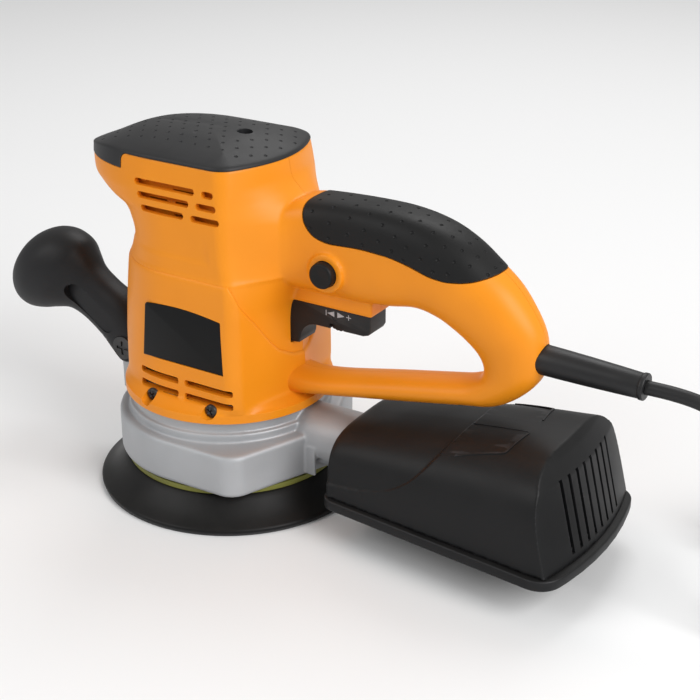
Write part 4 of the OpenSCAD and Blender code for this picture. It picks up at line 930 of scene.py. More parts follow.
def shellRibs():
    low, high, radius = ribPlan["pocket"]
    ribs = rod("pocket", (0, 0, low), (0, 0, high), radius, 64)
    half = ribPlan["webHalf"]
    low, high = ribPlan["web"]
    for turn in ribPlan["webs"]:
        web = box("web", (-90, -half, low), (90, half, high))
        web.rotation_euler.z = math.radians(turn)
        carve(ribs, settle(web), "UNION")
    near, far = ribPlan["wallY"]
    for side in (-1, 1):
        wall = sideBox("wall", side, ribPlan["wallY"], ribPlan["wall"])
        for z, (x0, x1) in ribPlan["gaps"]:
            gap = ((x0, z - ribPlan["gapHigh"]), (x1, z))
            carve(wall, sideBox("gap", side, (near - 1, far + 1), gap))
        carve(ribs, wall, "UNION")
        pocket = sideBox("pocket", side, ribPlan["boxY"], ribPlan["box"])
        carve(pocket, sideBox("inside", side, ribPlan["roomY"], ribPlan["room"]))
        carve(ribs, pocket, "UNION")
    carve(ribs, bodySkin("inside", 57, 188, 1, 4, 1), "INTERSECT")
    carve(ribs, rod("shaft_way", (0, 0, 150), (0, 0, 200), ribPlan["shaftWay"], 32))
    low, radius = ribPlan["bearing"]
    return carve(ribs, rod("seat", (0, 0, low), (0, 0, 200), radius, 64))


def cutSeats(body):
    for x, z in seats["screws"]:
        for side in (-1, 1):
            carve(body, alongY("seat", x, z, seats["radius"], side * seats["floor"], side * 70, 32))


spigotWay = {"top": 65.4, "radius": 45.7}
# start, end and radius of the steps in the bore for the cable boot
bootBores = [(152, 192, 5.5), (176, 180, 8.2), (179.5, 209.5, 7.6)]
bootHeight = 112.8


def noseCut():
    # what the nose of the top cap takes away
    corner, turn = shell["stepX"] + 0.2, shell["stepRound"]
    low, seam = shell["noseTop"] - shell["gap"], shell["capZ"] - shell["gap"]
    bend = arc(corner + turn, seam - turn, turn, 180, 90, 6)
    outline = [(-120, low), (corner, low)] + bend + [(corner + turn, 215), (-120, 215)]
    return slab("nose_cut", outline, -70, 70)


def makeHousing():
    body = bodySkin("body", shell["footZ"], shell["capZ"], 0, ledged=True)
    carve(body, handleSkin("handle", 0), "UNION")
    carve(body, skirtBlock(), "UNION")
    x, z = button["place"]
    carve(body, alongY("boss", x, z, button["radius"] + button["ring"], -10, button["ringTo"] + 0.2), "UNION")
    wax(body, shell["voxel"], 5)
    carve(body, lowerShell(), "UNION")
    print("housing waxed", len(body.data.polygons))
    carve(body, shellRoom())
    carve(body, rod("spigot_way", (0, 0, 50), (0, 0, spigotWay["top"]), spigotWay["radius"], 128))
    carve(body, handleSkin("handle_room", shell["wall"] + 0.6, 2, 20))
    carve(body, shellRibs(), "UNION")
    way, play = control["half"] + control["play"], control["play"]
    x0, x1, low = control["underSkirt"]
    carve(body, box("under_skirt", (x0, -20, low), (x1, 20, control["skirt"])))
    x0, low, high = control["slot"]
    carve(body, box("trigger_slot", (x0, -way, low), (control["tail"] + play, way, high)))
    carve(body, box("top_cut", (-120, -70, shell["capZ"] - shell["gap"]), (60, 70, 210)))
    carve(body, noseCut())
    cutVents(body)
    cutSeats(body)
    carve(body, alongY("button_hole", x, z, button["radius"] + button["gap"], -40, -4))
    for side in (-1, 1):
        carve(body, slab("badge_seat", badgeOutline(badge["gap"]), side * badge["seat"], side * 60))
    for start, stop, radius in bootBores:
        carve(body, rod("relief_bore", (start, 0, bootHeight), (stop, 0, bootHeight), radius))
    return body


housing = makeHousing()
print("housing carved", len(housing.data.polygons))


def gripRecess():
    recess = handleSkin("recess", -1.2, 6, 48)
    carve(recess, handleSkin("recess_core", grip["depth"], 6, 48))
    carve(recess, slab("grip_zone", rounded(grip["line"], 6, 5), -30, 30), "INTERSECT")
    return recess


carve(housing, gripRecess())


def halfHousing(name, side):
    near, far = sorted((side * 0.08, side * 90))
    half = copyOf(housing, name)
    carve(half, box("one_side", (-130, near, 0), (250, far, 240)), "INTERSECT")
    shadeSoft(half, 38)
    dress(half, "orange")
    return half


hand(halfHousing("shell_left", -1), "machine", "orange_shell", "housing_left")
hand(halfHousing("shell_right", 1), "machine", "orange_shell", "housing_right")
drop(housing)
print("housing halves done")

# ---- top cap, soft grip, badges

cap = {
    "proud": 0.25, "wall": 3, "screws": [-53.5, 15.3], "seat": 191, "seatFall": 0.35, "seatRadius": 4.1,
    "hole": 2.1, "leadIn": 2.5, "crownTop": 9.6,
    # foot, top and radius of the screw posts inside
    "post": (187, 205, 6.4),
    "dimple": 1.15, "pitch": (8.6, 6.5), "dimpleStart": -66, "dimpleRows": 4, "dimplesInRow": 13,
    # least clear distance from a screw and steepest face that still takes a dimple
    "dimpleClear": 8.5, "dimpleLevel": 0.86,
    # where the crown starts to fall to the nose, over how much and how far, and the same for the seam
    "fall": (-10, 62, 9), "sag": (-40, 36, 5.5),
    # rise above the seam and how far in the crown has come
    "steps": [
        (-0.5, 0), (0.8, 0.25), (1.9, 1.2), (3.1, 3.6), (4.5, 7), (5.9, 11.2), (7.5, 17), (8.8, 23),
        (9.5, 30), (9.7, 36)],
}


def bowedDown(x, plan):
    start, length, deep = plan
    return deep * (max(0, start - x) / length) ** 2


def crownDrop(x):
    return bowedDown(x, cap["fall"])


def noseSag(x):
    return bowedDown(x, cap["sag"])


def capSeat(x):
    return cap["seat"] - cap["seatFall"] * crownDrop(x)


def crownRing(rise, inset):
    ring = []
    for x, y in mirrored(sideOutline(shell["rows"][-1], inset, 4)):
        ring.append((x, y, shell["capZ"] + rise - crownDrop(x) * max(rise, 0) / 10 - noseSag(x)))
    return ring


def capSkin(name, inset, low):
    base = shell["rows"][-2]
    rings = []
    for down, pull in ((0, 0.4), (0.15, 0.12), (0.5, 0)):
        rings.append([(x, y, low + down) for x, y in mirrored(sideOutline(base, inset + pull, 4))])
    rings += [crownRing(rise - max(inset, 0), pull + inset) for rise, pull in throughRows(cap["steps"], 4)]
    return skin(name, rings)


def stepCut():
    # what lies under the seam behind the nose
    corner, seam, turn = shell["stepX"], shell["capZ"], shell["stepRound"]
    bend = arc(corner + turn, seam - turn, turn, 180, 90, 7)
    return slab("step_cut", [(corner, 150)] + bend + [(60, seam), (60, 150)], -60, 60)


def seatCapScrews(top):
    radius = cap["seatRadius"]
    for x in cap["screws"]:
        crown = shell["capZ"] + cap["crownTop"] - crownDrop(x) - noseSag(x)
        carve(top, rod("through", (x, 0, 150), (x, 0, 210), cap["hole"], 32))
        carve(top, rod("sunk", (x, 0, capSeat(x)), (x, 0, 210), radius, 40))
        wide = radius + cap["leadIn"]
        carve(top, rod("lead_in", (x, 0, crown - 0.5), (x, 0, crown + 2), radius, 40, endRadius=wide))


def beadsAt(name, places, radius, segments, rings):
    # many small balls joined into one cutter
    bpy.ops.mesh.primitive_uv_sphere_add(segments=segments, ring_count=rings, radius=radius * mm)
    first = bpy.context.object
    beads = []
    for place in places:
        bead = copyOf(first, name)
        bead.location = place
        beads.append(bead)
    drop(first)
    return settle(joined(name, beads))


def dimplePlaces(top):
    stepX, stepY = cap["pitch"]
    places = []
    for j in range(-cap["dimpleRows"], cap["dimpleRows"] + 1):
        for i in range(cap["dimplesInRow"]):
            x, y = cap["dimpleStart"] + stepX * i + (stepX / 2 if j % 2 else 0), stepY * j
            clear = min(math.hypot(x - screwX, y) for screwX in cap["screws"])
            hit, where, normal, _ = top.ray_cast(Vector((x, y, 250)) * mm, Vector((0, 0, -1)))
            if hit and normal.z > cap["dimpleLevel"] and clear > cap["dimpleClear"]:
                places.append(where + Vector((0, 0, 0.0005)))
    return places


def makeCap():
    top = capSkin("top_cover", -cap["proud"], shell["noseTop"])
    carve(top, capSkin("cap_room", cap["wall"], shell["noseTop"] - 2))
    low, high, radius = cap["post"]
    for x in cap["screws"]:
        post = rod("post", (x, 0, low), (x, 0, high), radius)
        carve(post, capSkin("post_top", 0.3, shell["noseTop"] - 1), "INTERSECT")
        carve(top, post, "UNION")
    carve(top, stepCut())
    seatCapScrews(top)
    carve(top, beadsAt("dimples", dimplePlaces(top), cap["dimple"], 10, 6))
    shadeSoft(top, 32)
    modify(top, "WEIGHTED_NORMAL", keep_sharp=True)
    return dress(top, "softBlack")


hand(makeCap(), "machine", "soft_black", "top_cap")
print("cap done")


def offsetOutline(outline, inward):
    # the same outline drawn in all round
    count = len(outline)
    area = sum(outline[i - 1][0] * outline[i][1] - outline[i][0] * outline[i - 1][1] for i in range(count))
    turn = 1 if area > 0 else -1
    points = []
    for i in range(count):
        before = (Vector(outline[i]) - Vector(outline[i - 1])).normalized()
        after = (Vector(outline[(i + 1) % count]) - Vector(outline[i])).normalized()
        normal = Vector((-(before.y + after.y), before.x + after.x)).normalized() * turn
        reach = inward / max(0.4, math.sqrt((1 + before.dot(after)) / 2))
        points.append((outline[i][0] + normal.x * reach, outline[i][1] + normal.y * reach))
    return points


def gripPlaces(cover):
    # dimples in staggered rows across the grip, where its skin faces outward
    reach, step = grip["dotReach"], grip["dotTurn"]
    places = []
    gone = shift = 0
    last = None
    for row in throughRows(grip["rows"], 8):
        outer, inner = Vector((row[0], 0, row[1])), Vector((row[2], 0, row[3]))
        if last is not None:
            gone += (outer - last).length
        last = outer
        if gone < grip["dotPitch"] or row[0] > 180 and row[1] < 140:
            continue
        gone = 0
        shift = step // 2 - shift
        middle = (outer + inner) / 2
        across = (outer - inner).normalized()
        for turn in range(shift - reach, reach + 1, step):
            a = math.radians(turn)
            out = across * math.cos(a) + Vector((0, 1, 0)) * math.sin(a)
            hit, where, normal, _ = cover.ray_cast((middle + out * 60) * mm, -out)
            outside = hit and (where / mm - middle).length > 12 and normal.dot(out) > 0.6
            if outside and where.z > 0.152:
                places.append(where + normal * 0.0005)
    return places


def makeGrip():
    cover = handleSkin("soft_grip", -grip["proud"], 6, 64)
    carve(cover, handleSkin("grip_core", grip["depth"] + 0.05, 6, 48))
    carve(cover, slab("grip_zone", offsetOutline(rounded(grip["line"], 6, 5), 0.35), -30, 30), "INTERSECT")
    wax(cover, grip["voxel"], 3)
    places = gripPlaces(cover)
    print("grip dots", len(places))
    carve(cover, beadsAt("grip_dots", places, grip["dot"], 12, 8))
    shadeSoft(cover, 40)
    return dress(cover, "gripBlack")


hand(makeGrip(), "machine", "soft_black", "handle_grip")
print("grip done")


def makeBadges():
    parts = []
    for side in (-1, 1):
        part = slab("badge", badgeOutline(), side * badge["seat"], side * (badge["seat"] + badge["thick"]))
        rounding(part, badge["soft"], 3, 50)
        parts.append(part)
    plates = joined("name_plates", parts)
    shadeSoft(plates, 40)
    return dress(plates, "badgeBlack")


hand(makeBadges(), "machine", "badge_black", "badge_plates")

# ---- gear housing with its outlet tube and lug

casting = {
    "low": 20, "shoulder": 44, "radius": 61, "rear": 48, "corner": 13, "half": 60, "boss": (56, 10),
    "round": 2.5,
    # foot and radius of each collar that steps up to the housing
    "collars": [(44, 55.5), (49, 53.5), (56, 45.5)], "top": 63.5,
    "tube": 16.25, "tubeBore": 13.25, "tubeZ": 38.5, "tubeStart": 57, "tubeEnd": 106,
    "chamber": 52, "chamberTop": 39.5, "bore": 41.5, "bearing": 16, "shaftWay": 8,
    "lug": 11, "pivot": (-67, 62), "eye": 9, "boltWay": 4.06, "voxel": 0.7,
    # lower and upper corner of the web under the eye, from the pivot, and of its root
    "web": ((-6, -28), (8.4, 2)), "root": ((-62, 32), (-59.5, 46)),
    # place across and half width, then lower and upper corner, of the ribs and pockets at the rear
    "rib": (16, 0.9, (52, 21.5), (66.5, 38)), "pan": (13.2, 1.2, (62.2, 24), (70, 37)),
    # half width, then lower and upper corner, of the way for dust into the tube
    "duct": (11, (44, 26), (61, 40.5)),
    # radius and ends of the tapped holes
    "tapped": (2, 35, 60),
}


def wrapped(circles, steps=64):
    # the outline that a band would take round a set of circles
    places = [(x + r * math.cos(math.tau * k / steps), y + r * math.sin(math.tau * k / steps))
              for x, y, r in circles for k in range(steps)]
    points = sorted({(round(x, 4), round(y, 4)) for x, y in places})

    def chain(order):
        line = []
        for p in order:
            while len(line) > 1 and ((line[-1][0] - line[-2][0]) * (p[1] - line[-2][1])
                                     - (line[-1][1] - line[-2][1]) * (p[0] - line[-2][0])) <= 0:
                line.pop()
            line.append(p)
        return line

    return chain(points)[:-1] + chain(points[::-1])[:-1]


def castingPlan(inset):
    corner = casting["corner"]
    x, y = casting["rear"] - corner, casting["half"] - corner
    bossX, bossR = casting["boss"]
    return wrapped([(0, 0, casting["radius"] - inset), (x, y, corner - inset), (x, -y, corner - inset),
                    (bossX, 0, bossR - inset)], 96)


def castingBody():
    base = plate("gear_case", castingPlan(0), casting["low"], casting["shoulder"])
    rounding(base, casting["round"], 4)
    uppers = [z for z, _ in casting["collars"][1:]] + [casting["top"]]
    low = casting["shoulder"] - 2
    for (_, radius), upper in zip(casting["collars"], uppers):
        carve(base, rod("collar", (0, 0, low), (0, 0, upper), radius, 128, 0.5), "UNION")
        low = upper - 2
    z = casting["tubeZ"]
    carve(base, rod("outlet", (48, 0, z), (casting["tubeEnd"], 0, z), casting["tube"], 96, 0.8), "UNION")
    x, z = casting["pivot"]
    half = casting["lug"] / 2
    carve(base, alongY("eye", x, z, casting["eye"], -half, half), "UNION")
    carve(base, midBox("web", half, *[(x + along, z + up) for along, up in casting["web"]]), "UNION")
    carve(base, midBox("root", half, *casting["root"]), "UNION")
    for side in (-1, 1):
        for key, mode in (("rib", "UNION"), ("pan", "DIFFERENCE")):
            across, thin, (x0, z0), (x1, z1) = casting[key]
            y = side * across
            carve(base, box(key, (x0, y - thin, z0), (x1, y + thin, z1)), mode)
    return wax(base, casting["voxel"], 3)


def makeCasting():
    base = castingBody()
    carve(base, rod("chamber", (0, 0, 10), (0, 0, casting["chamberTop"]), casting["chamber"], 128))
    hollow = rod("bore", (0, 0, casting["shoulder"] + 1), (0, 0, 80), casting["bore"], 128)
    carve(hollow, rod("seat", (0, 0, 40), (0, 0, 55), 20, 64))
    carve(base, hollow)
    carve(base, rod("bearing_seat", (0, 0, 45), (0, 0, 80), casting["bearing"], 96))
    carve(base, rod("shaft_way", (0, 0, 10), (0, 0, 80), casting["shaftWay"], 64))
    z = casting["tubeZ"]
    carve(base, rod("tube_bore", (casting["tubeStart"], 0, z), (120, 0, z), casting["tubeBore"], 96))
    carve(base, midBox("duct", *casting["duct"]))
    carve(base, alongY("pivot_hole", *casting["pivot"], casting["boltWay"], -20, 20))
    radius, near, far = casting["tapped"]
    for x, z in seats["screws"]:
        for side in (-1, 1):
            carve(base, alongY("tapped", x, z, radius, side * near, side * far, 24))
    shadeSoft(base, 38)
    return dress(base, "castAlloy")


hand(makeCasting(), "machine", "cast_alloy", "gear_housing")
print("casting done")

# ---- sanding pad

pad = {
    "centre": (2, 0), "across": 150, "plate": 119, "hookTop": 1.5, "foamTop": 16.5, "top": 19.5,
    "holes": 6, "holeRadius": 5, "ring": 40, "dish": 1.3,
    # radius and sides of the hole in the middle
    "middle": (9, 64), "plateMiddle": (4.1, 48),
}


def padLayer(name, profile, middle, key):
    # a round layer of the pad with its dust holes and the hole in the middle
    x, y = pad["centre"]
    layer = turned(name, profile, pad["centre"], 160)
    for i in range(pad["holes"]):
        a = math.tau * i / pad["holes"]
        at = (x + pad["ring"] * math.cos(a), y + pad["ring"] * math.sin(a))
        carve(layer, rod("dust_hole", (*at, -2), (*at, 30), pad["holeRadius"], 40))
    carve(layer, rod("middle_hole", (x, y, -2), (x, y, 30), *middle))
    shadeSoft(layer, 40)
    return dress(layer, key)


def makeFoam():
    # a skirt that flares from the plate to a rolled rim, with a slight dish between them
    low, high = pad["hookTop"], pad["foamTop"]
    r, top = pad["across"] / 2, pad["plate"] / 2
    x0, z0, x1, z1 = r - 1.2, low + 2.5, top + 1.6, high - 1.3
    profile = [(0, low), (r - 0.8, low), (r - 0.25, low + 0.15), (r, low + 0.6), (r, low + 1.4),
               (r - 0.3, low + 2)]
    for k in range(12):
        t = k / 12
        profile.append((x0 + (x1 - x0) * t, z0 + (z1 - z0) * t - pad["dish"] * math.sin(math.pi * t)))
    profile += [(top + 1, high - 0.6), (top + 0.2, high - 0.15), (top - 0.8, high), (0, high)]
    return padLayer("pad_cushion", profile, pad["middle"], "padRubber")


def makePadPlate():
    r, low, high = pad["plate"] / 2, pad["foamTop"], pad["top"]
    profile = [(0, low), (r - 0.5, low), (r - 0.1, low + 0.15), (r, low + 0.5), (r, high - 0.5),
               (r - 0.1, high - 0.15), (r - 0.5, high), (0, high)]
    return padLayer("backing_plate", profile, pad["plateMiddle"], "glassFibre")


def makeHooks():
    r, high = pad["across"] / 2 - 0.6, pad["hookTop"]
    profile = [(0, 0), (r - 0.5, 0), (r - 0.1, 0.2), (r, 0.5), (r, high), (0, high)]
    return padLayer("hook_face", profile, pad["middle"], "hookNylon")


hand(makeFoam(), "pad", "pad_foam", "pad_foam")
hand(makePadPlate(), "pad", "glass_fibre", "pad_plate")
hand(makeHooks(), "pad", "hook_nylon", "hook_facing")
print("pad done")

# ---- front handle

front = {
    "normal": (0.55, 0.835), "voxel": 0.6, "cheek": 11, "gap": 0.4, "lug": 11, "boltWay": 4, "nutSeat": 7,
    # centre of the section, its half depth, half width and squareness
    "rows": [
        (-144.3, 103.6, 5, 4, 2), (-143, 102.8, 12, 9.5, 2.1), (-140.2, 101.4, 19.3, 15, 2.1),
        (-135.5, 99.3, 25.6, 19, 2.1), (-129, 97, 29.2, 21.4, 2.1), (-122, 94.9, 29.8, 21.3, 2.1),
        (-114.3, 93.4, 27.2, 19.7, 2.1), (-107, 91.4, 21.8, 15.8, 2.2), (-99.8, 88.7, 16.8, 12.3, 2.4),
        (-90.2, 83.7, 15, 11.1, 2.6), (-78, 76, 15.3, 11, 2.8), (-70.5, 67.5, 14.3, 11, 3),
        (-66, 60, 11.5, 10.6, 3), (-63.5, 56.5, 8, 8, 2.6)],
    # ends of the shallow thumb groove on each side
    "flute": [(-79, 74.5, 6), (-99.5, 88.5, 6)], "fluteDeep": 0.9,
}


def stemRing(row, count=64):
    x, z, half, width, power = row
    nx, nz = front["normal"]
    return sectionRing((x + nx * half, z + nz * half, x - nx * half, z - nz * half, width, power), 0, count)


def lugRoom():
    x, z = casting["pivot"]
    reach = front["lug"] / 2 + front["gap"]
    outline = wrapped([(x, z, 9.8), (x + 10, z - 4, 14), (x - 4, z - 14, 9)], 48)
    return slab("lug_room", outline, -reach, reach)


def makeFrontHandle():
    stem = skin("side_handle", [stemRing(row) for row in throughRows(front["rows"], 6)])
    wax(stem, front["voxel"], 4)
    for side in (-1, 1):
        near = side * (front["cheek"] - front["fluteDeep"])
        carve(stem, slab("flute", wrapped(front["flute"], 40), near, side * 30))
    carve(stem, lugRoom())
    x, z = casting["pivot"]
    carve(stem, alongY("bolt_hole", x, z, front["boltWay"], -30, 30))
    for side in (-1, 1):
        carve(stem, alongY("nut_seat", x, z, front["nutSeat"], side * (front["cheek"] - 3), side * 30, 64))
    shadeSoft(stem, 38)
    return dress(stem, "handleBlack")


hand(makeFrontHandle(), "front_handle", "black_plastic", "front_handle")
print("front handle done")

# ---- dust box: hood, tray

hood = {
    "front": 87, "floor": 20, "seam": 26, "wall": 2.2, "step": 1.3, "voxel": 0.65,
    "sleeve": 17, "tubeZ": 38.5,
    # station, half width, height of the ridge, squareness of the crown
    "rows": [
        (87, 37, 58, 3.7), (88.5, 38.5, 60.3, 3.6), (97, 39.3, 62.6, 3.6), (137, 43.1, 69.8, 3.2),
        (172, 46.3, 74.8, 3.2), (195, 48.5, 76.8, 3.3), (206, 49.6, 77.4, 3.4), (224.5, 50, 78, 3.4)],
    # the leaning back, seen along the middle, and the upright line that it is curved round
    "back": [(222.6, 0), (222.4, 26), (212.6, 65.5), (207.2, 74), (203, 78.5), (190, 110)], "backCentre": 42,
    # the line where the rear part of the hood stands proud of the front part
    "fold": [(91.8, 33.8), (107.3, 36.2), (122.3, 40.8), (131.7, 46.1), (138.2, 51.3), (143.8, 57.7),
             (148.3, 63.9), (153.2, 71.2), (156, 80)],
    # slots down the leaning rear face, seen from the side
    "slots": 8, "slotSpan": 52, "slotHalf": 1.2,
    "slot": [(214.5, 29.5), (228, 29.5), (228, 36), (216.5, 66.5), (203.5, 66.5)],
    # corners of the panel beside the ridge, with how much of its bead's width each takes
    "panel": [(150, 0, 34, 1), (181.5, 1, 27, 1), (184.5, 1, 6, 0), (150, 0, 6, 0)],
    "bead": 0.9, "beadHigh": 0.45, "panelDeep": 0.35,
}


def hoodRing(row, inset, low, count=72):
    x, half, top, power = row
    height, width = top - inset - hood["seam"] + low, half - inset
    ring = []
    for k in range(count + 1):
        a = math.radians(180 - 180 * k / count)
        c = math.cos(a)
        ring.append((x, width * math.copysign(abs(c) ** (2 / power), c),
                     hood["seam"] - low + height * max(math.sin(a), 0) ** (1.8 / power)))
    return ring


def hoodSkin(name, inset, low, front=0.0, rear=0.0):
    rows = throughRows(hood["rows"], 5)
    rows[0][0] += front
    rows[-1][0] += rear
    return skin(name, [hoodRing(row, inset, low) for row in rows])


def hoodCut(name, inset):
    # what lies in front of the curved back
    centre = hood["backCentre"]
    back = [(x - centre - inset, z - (inset if z > 30 else 0)) for x, z in hood["back"]]
    return turned(name, [(0, -5)] + back + [(0, 110)], (centre, 0), 360)


def proudZone():
    # everything behind and under the fold line
    outline = [(80, 33.4)] + throughRows(hood["fold"], 3) + [(160, 100), (230, 100), (230, 0), (80, 0)]
    return slab("proud_zone", outline, -80, 80)


def makeHood():
    cover = hoodSkin("dust_cover", hood["step"], 0)
    proud = hoodSkin("proud", 0, 0)
    carve(proud, proudZone(), "INTERSECT")
    carve(cover, proud, "UNION")
    carve(cover, hoodCut("outside", 0), "INTERSECT")
    wax(cover, hood["voxel"], 4)
    carve(cover, box("level", (60, -80, 0), (240, 80, hood["seam"])))
    room = hoodSkin("hood_room", hood["wall"] + 0.6, 2)
    carve(room, hoodCut("inside", hood["wall"]), "INTERSECT")
    carve(cover, room)
    x, z = hood["front"], hood["tubeZ"]
    carve(cover, rod("sleeve", (x + 0.5, 0, z), (x + 21, 0, z), hood["sleeve"] + 2, 64), "UNION")
    carve(cover, rod("sleeve_bore", (x - 3, 0, z), (x + 30, 0, z), hood["sleeve"], 64))
    carve(cover, box("level", (60, -80, 0), (240, 80, hood["seam"])))
    carveSlots(cover)
    shapePanel(cover)
    shadeSoft(cover, 36)
    return dress(cover, "boxBlack")


def carveSlots(cover):
    last = hood["slots"] - 1
    for i in range(hood["slots"]):
        y = (i - last / 2) * hood["slotSpan"] / last
        carve(cover, slab("vent", hood["slot"], y - hood["slotHalf"], y + hood["slotHalf"]))


def panelOutline(side, grow):
    outline = [(x + grow * along, side * (y + grow * across)) for x, along, y, across in hood["panel"]]
    return rounded(outline if side > 0 else outline[::-1], 2, 4)


def shapePanel(cover):
    # a panel on each side of the ridge, let in a little, with a fine bead along its outer and its rear edge
    for side in (-1, 1):
        block = plate("panel", panelOutline(side, 0), 50, 100)
        carve(block, hoodSkin("panel_floor", hood["panelDeep"], 0))
        bead = plate("bead", panelOutline(side, hood["bead"]), 50, 100)
        carve(bead, plate("inside", panelOutline(side, 0), 40, 110))
        carve(bead, box("front", (140, -60, 40), (158, 60, 110)))
        carve(bead, box("ridge", (140, -8, 40), (200, 8, 110)))
        carve(bead, hoodSkin("bead_top", -hood["beadHigh"], 0), "INTERSECT")
        carve(bead, hoodSkin("bead_floor", 0.8, 0))
        carve(cover, block)
        carve(cover, bead, "UNION")


tray = {
    # distance along the tray, half width and corner radius at its front and at its rear
    "front": (93, 32.5, 6), "rear": (208.5, 40, 10), "bulge": 217.4, "bend": 340, "bulgeHalf": 36,
    # how far the outside, the rim inside the hood and the room lie from those corners
    "outside": 2.6, "rim": -3.4, "room": -5.4,
}


def trayPlan(out):
    reach = tray["bulgeHalf"]
    ends = (tray["front"], tray["rear"])
    circles = [(x, side * y, radius + out) for x, y, radius in ends for side in (1, -1)]
    for y in range(-reach, reach + 1, 12):
        circles.append((tray["bulge"] - y * y / tray["bend"], y, tray["front"][2] + out))
    return wrapped(circles, 48)


def makeTray():
    drawer = plate("dust_drawer", trayPlan(tray["outside"]), hood["floor"], hood["seam"] - 0.4)
    rounding(drawer, 0.9)
    carve(drawer, plate("rim", trayPlan(tray["rim"]), hood["floor"] + 1, hood["seam"] + 6), "UNION")
    carve(drawer, plate("tray_room", trayPlan(tray["room"]), hood["floor"] + 2, 50))
    z = hood["tubeZ"]
    carve(drawer, rod("sleeve_room", (77, 0, z), (113, 0, z), hood["sleeve"] + 2.4, 64))
    shadeSoft(drawer, 40)
    return dress(drawer, "boxBlack")


hand(makeHood(), "dust_box", "box_plastic", "dust_hood")
hand(makeTray(), "dust_tray", "box_plastic", "dust_tray")
print("dust box done")

# ---- trigger, speed wheel, lock button

def triggerOutline():
    nose, top, tail = control["nose"], control["top"], control["tail"]
    before = [(nose, top), (nose, 93.6), (47, 91.9), (51.6, 92.4)]
    after = [(90.6, 104.8), (93.7, 105.8), (tail, 108), (tail, top)]
    return before + arc(*control["finger"], 180, 90, 12) + after


def makeTrigger():
    half = control["half"]
    lever = slab("switch_lever", triggerOutline(), -half, half)
    rounding(lever, 0.7, 4, 70)
    x0, x1, low, high = control["leverRoom"]
    carve(lever, midBox("lever_room", half - control["leverWall"], (x0, low), (x1, high)))
    x, z = control["wheel"]
    reach, low, gap = control["wheelRoom"]
    carve(lever, midBox("wheel_room", control["wheelHalf"] + gap, (x - reach, low), (x + reach, high)))
    x0, x1, high = control["window"]
    carve(lever, midBox("window", half + 2, (x0, 95), (x1, high)))
    carve(lever, alongY("pin_hole", x, z, control["pin"] + 0.06, -half - 1, half + 1, 24))
    shadeSoft(lever, 40)
    return dress(lever, "controlBlack")


def makeWheel():
    x, z = control["wheel"]
    half, reach = control["wheelHalf"], control["wheelRadius"] + 0.2
    wheel = alongY("speed_dial", x, z, control["wheelRadius"], -half, half, 96)
    rounding(wheel, 0.5)
    for i in range(control["notches"]):
        a = math.tau * i / control["notches"]
        at = (x + reach * math.cos(a), z + reach * math.sin(a))
        carve(wheel, alongY("notch", *at, control["notch"], -half - 1, half + 1, 12))
    carve(wheel, alongY("pin", x, z, control["pin"], -7.6, 7.6, 32), "UNION")
    shadeSoft(wheel, 40)
    return dress(wheel, "controlBlack")


def makeButton():
    x, z = button["place"]
    push = alongY("lock_push", x, z, button["radius"], button["from"], button["to"], 96)
    rounding(push, 1.2, 5)
    carve(push, alongY("hollow", x, z, button["radius"] - 3, -17.5, -13, 48))
    y = button["from"] - (button["dish"] - button["dishDeep"])
    bpy.ops.mesh.primitive_uv_sphere_add(segments=64, ring_count=32, radius=button["dish"] * mm,
                                         location=(x * mm, y * mm, z * mm))
    dish = settle(bpy.context.object)
    carve(push, dish)
    shadeSoft(push, 40)
    return dress(push, "gripBlack")


hand(makeTrigger(), "trigger", "black_plastic", "trigger")
hand(makeWheel(), "speed_wheel", "black_plastic", "speed_wheel")
hand(makeButton(), "lock_button", "black_plastic", "lock_button")
print("controls done")

triggerMarks = {
    "proud": 0.06,
    "shapes": [
        [(68.55, 111.7), (68.95, 111.7), (68.95, 114.7), (68.55, 114.7)],
        [(69.45, 113.2), (73.65, 111.7), (73.65, 114.7)],
        [(75.55, 111.7), (79.75, 113.2), (75.55, 114.7)],
        [(80.85, 113), (82.05, 113), (82.05, 111.8), (82.45, 111.8), (82.45, 113), (83.65, 113),
         (83.65, 113.4), (82.45, 113.4), (82.45, 114.6), (82.05, 114.6), (82.05, 113.4), (80.85, 113.4)]],
}


def makeMarks():
    # bar, arrow, arrow and plus for slower and faster, printed on both sides of the trigger
    parts = []
    for side in (-1, 1):
        near = side * (control["half"] - 0.1)
        far = side * (control["half"] + triggerMarks["proud"])
        for shape in triggerMarks["shapes"]:
            parts.append(slab("mark", shape, near, far))
    return dress(joined("trigger_marks", parts), "printGrey")


hand(makeMarks(), "trigger", "black_plastic")

# ---- screws

screws = {
    "base": {"radius": 3.6, "high": 2.4, "shank": 2, "reach": 8.1, "turn": 45},
    "case": {"radius": 3.5, "high": 2.4, "shank": 1.8, "reach": 13, "turn": 20,
             "places": [(102, 134), (146, 133), (173, 103), (66, 71), (42.4, 97)]},
    "cap": {"radius": 3.6, "high": 2.2, "shank": 1.7, "reach": 11, "turn": 30},
}


def panScrew(plan):
    # a pan head with a cross slot, pointing up, its seat at the origin
    r, high, shank = plan["radius"], plan["high"], plan["shank"]
    low = -plan["reach"]
    profile = [(0, low), (shank, low), (shank, 0), (r - 0.25, 0), (r, 0.25), (r, high * 0.4),
               (r * 0.95, high * 0.64), (r * 0.8, high * 0.84), (r * 0.5, high * 0.96), (0, high)]
    screw = turned("pan_screw", profile, steps=40)
    for turn in (0, 90):
        rings = []
        for z, long, thick in ((high - 1.5, r * 0.3, 0.3), (high + 0.5, r * 0.66, 0.55)):
            rings.append([(-long, -thick, z), (long, -thick, z), (long, thick, z), (-long, thick, z)])
        arm = skin("slot", rings)
        arm.rotation_euler.z = math.radians(turn + plan["turn"])
        carve(screw, settle(arm))
    shadeSoft(screw, 38)
    return screw


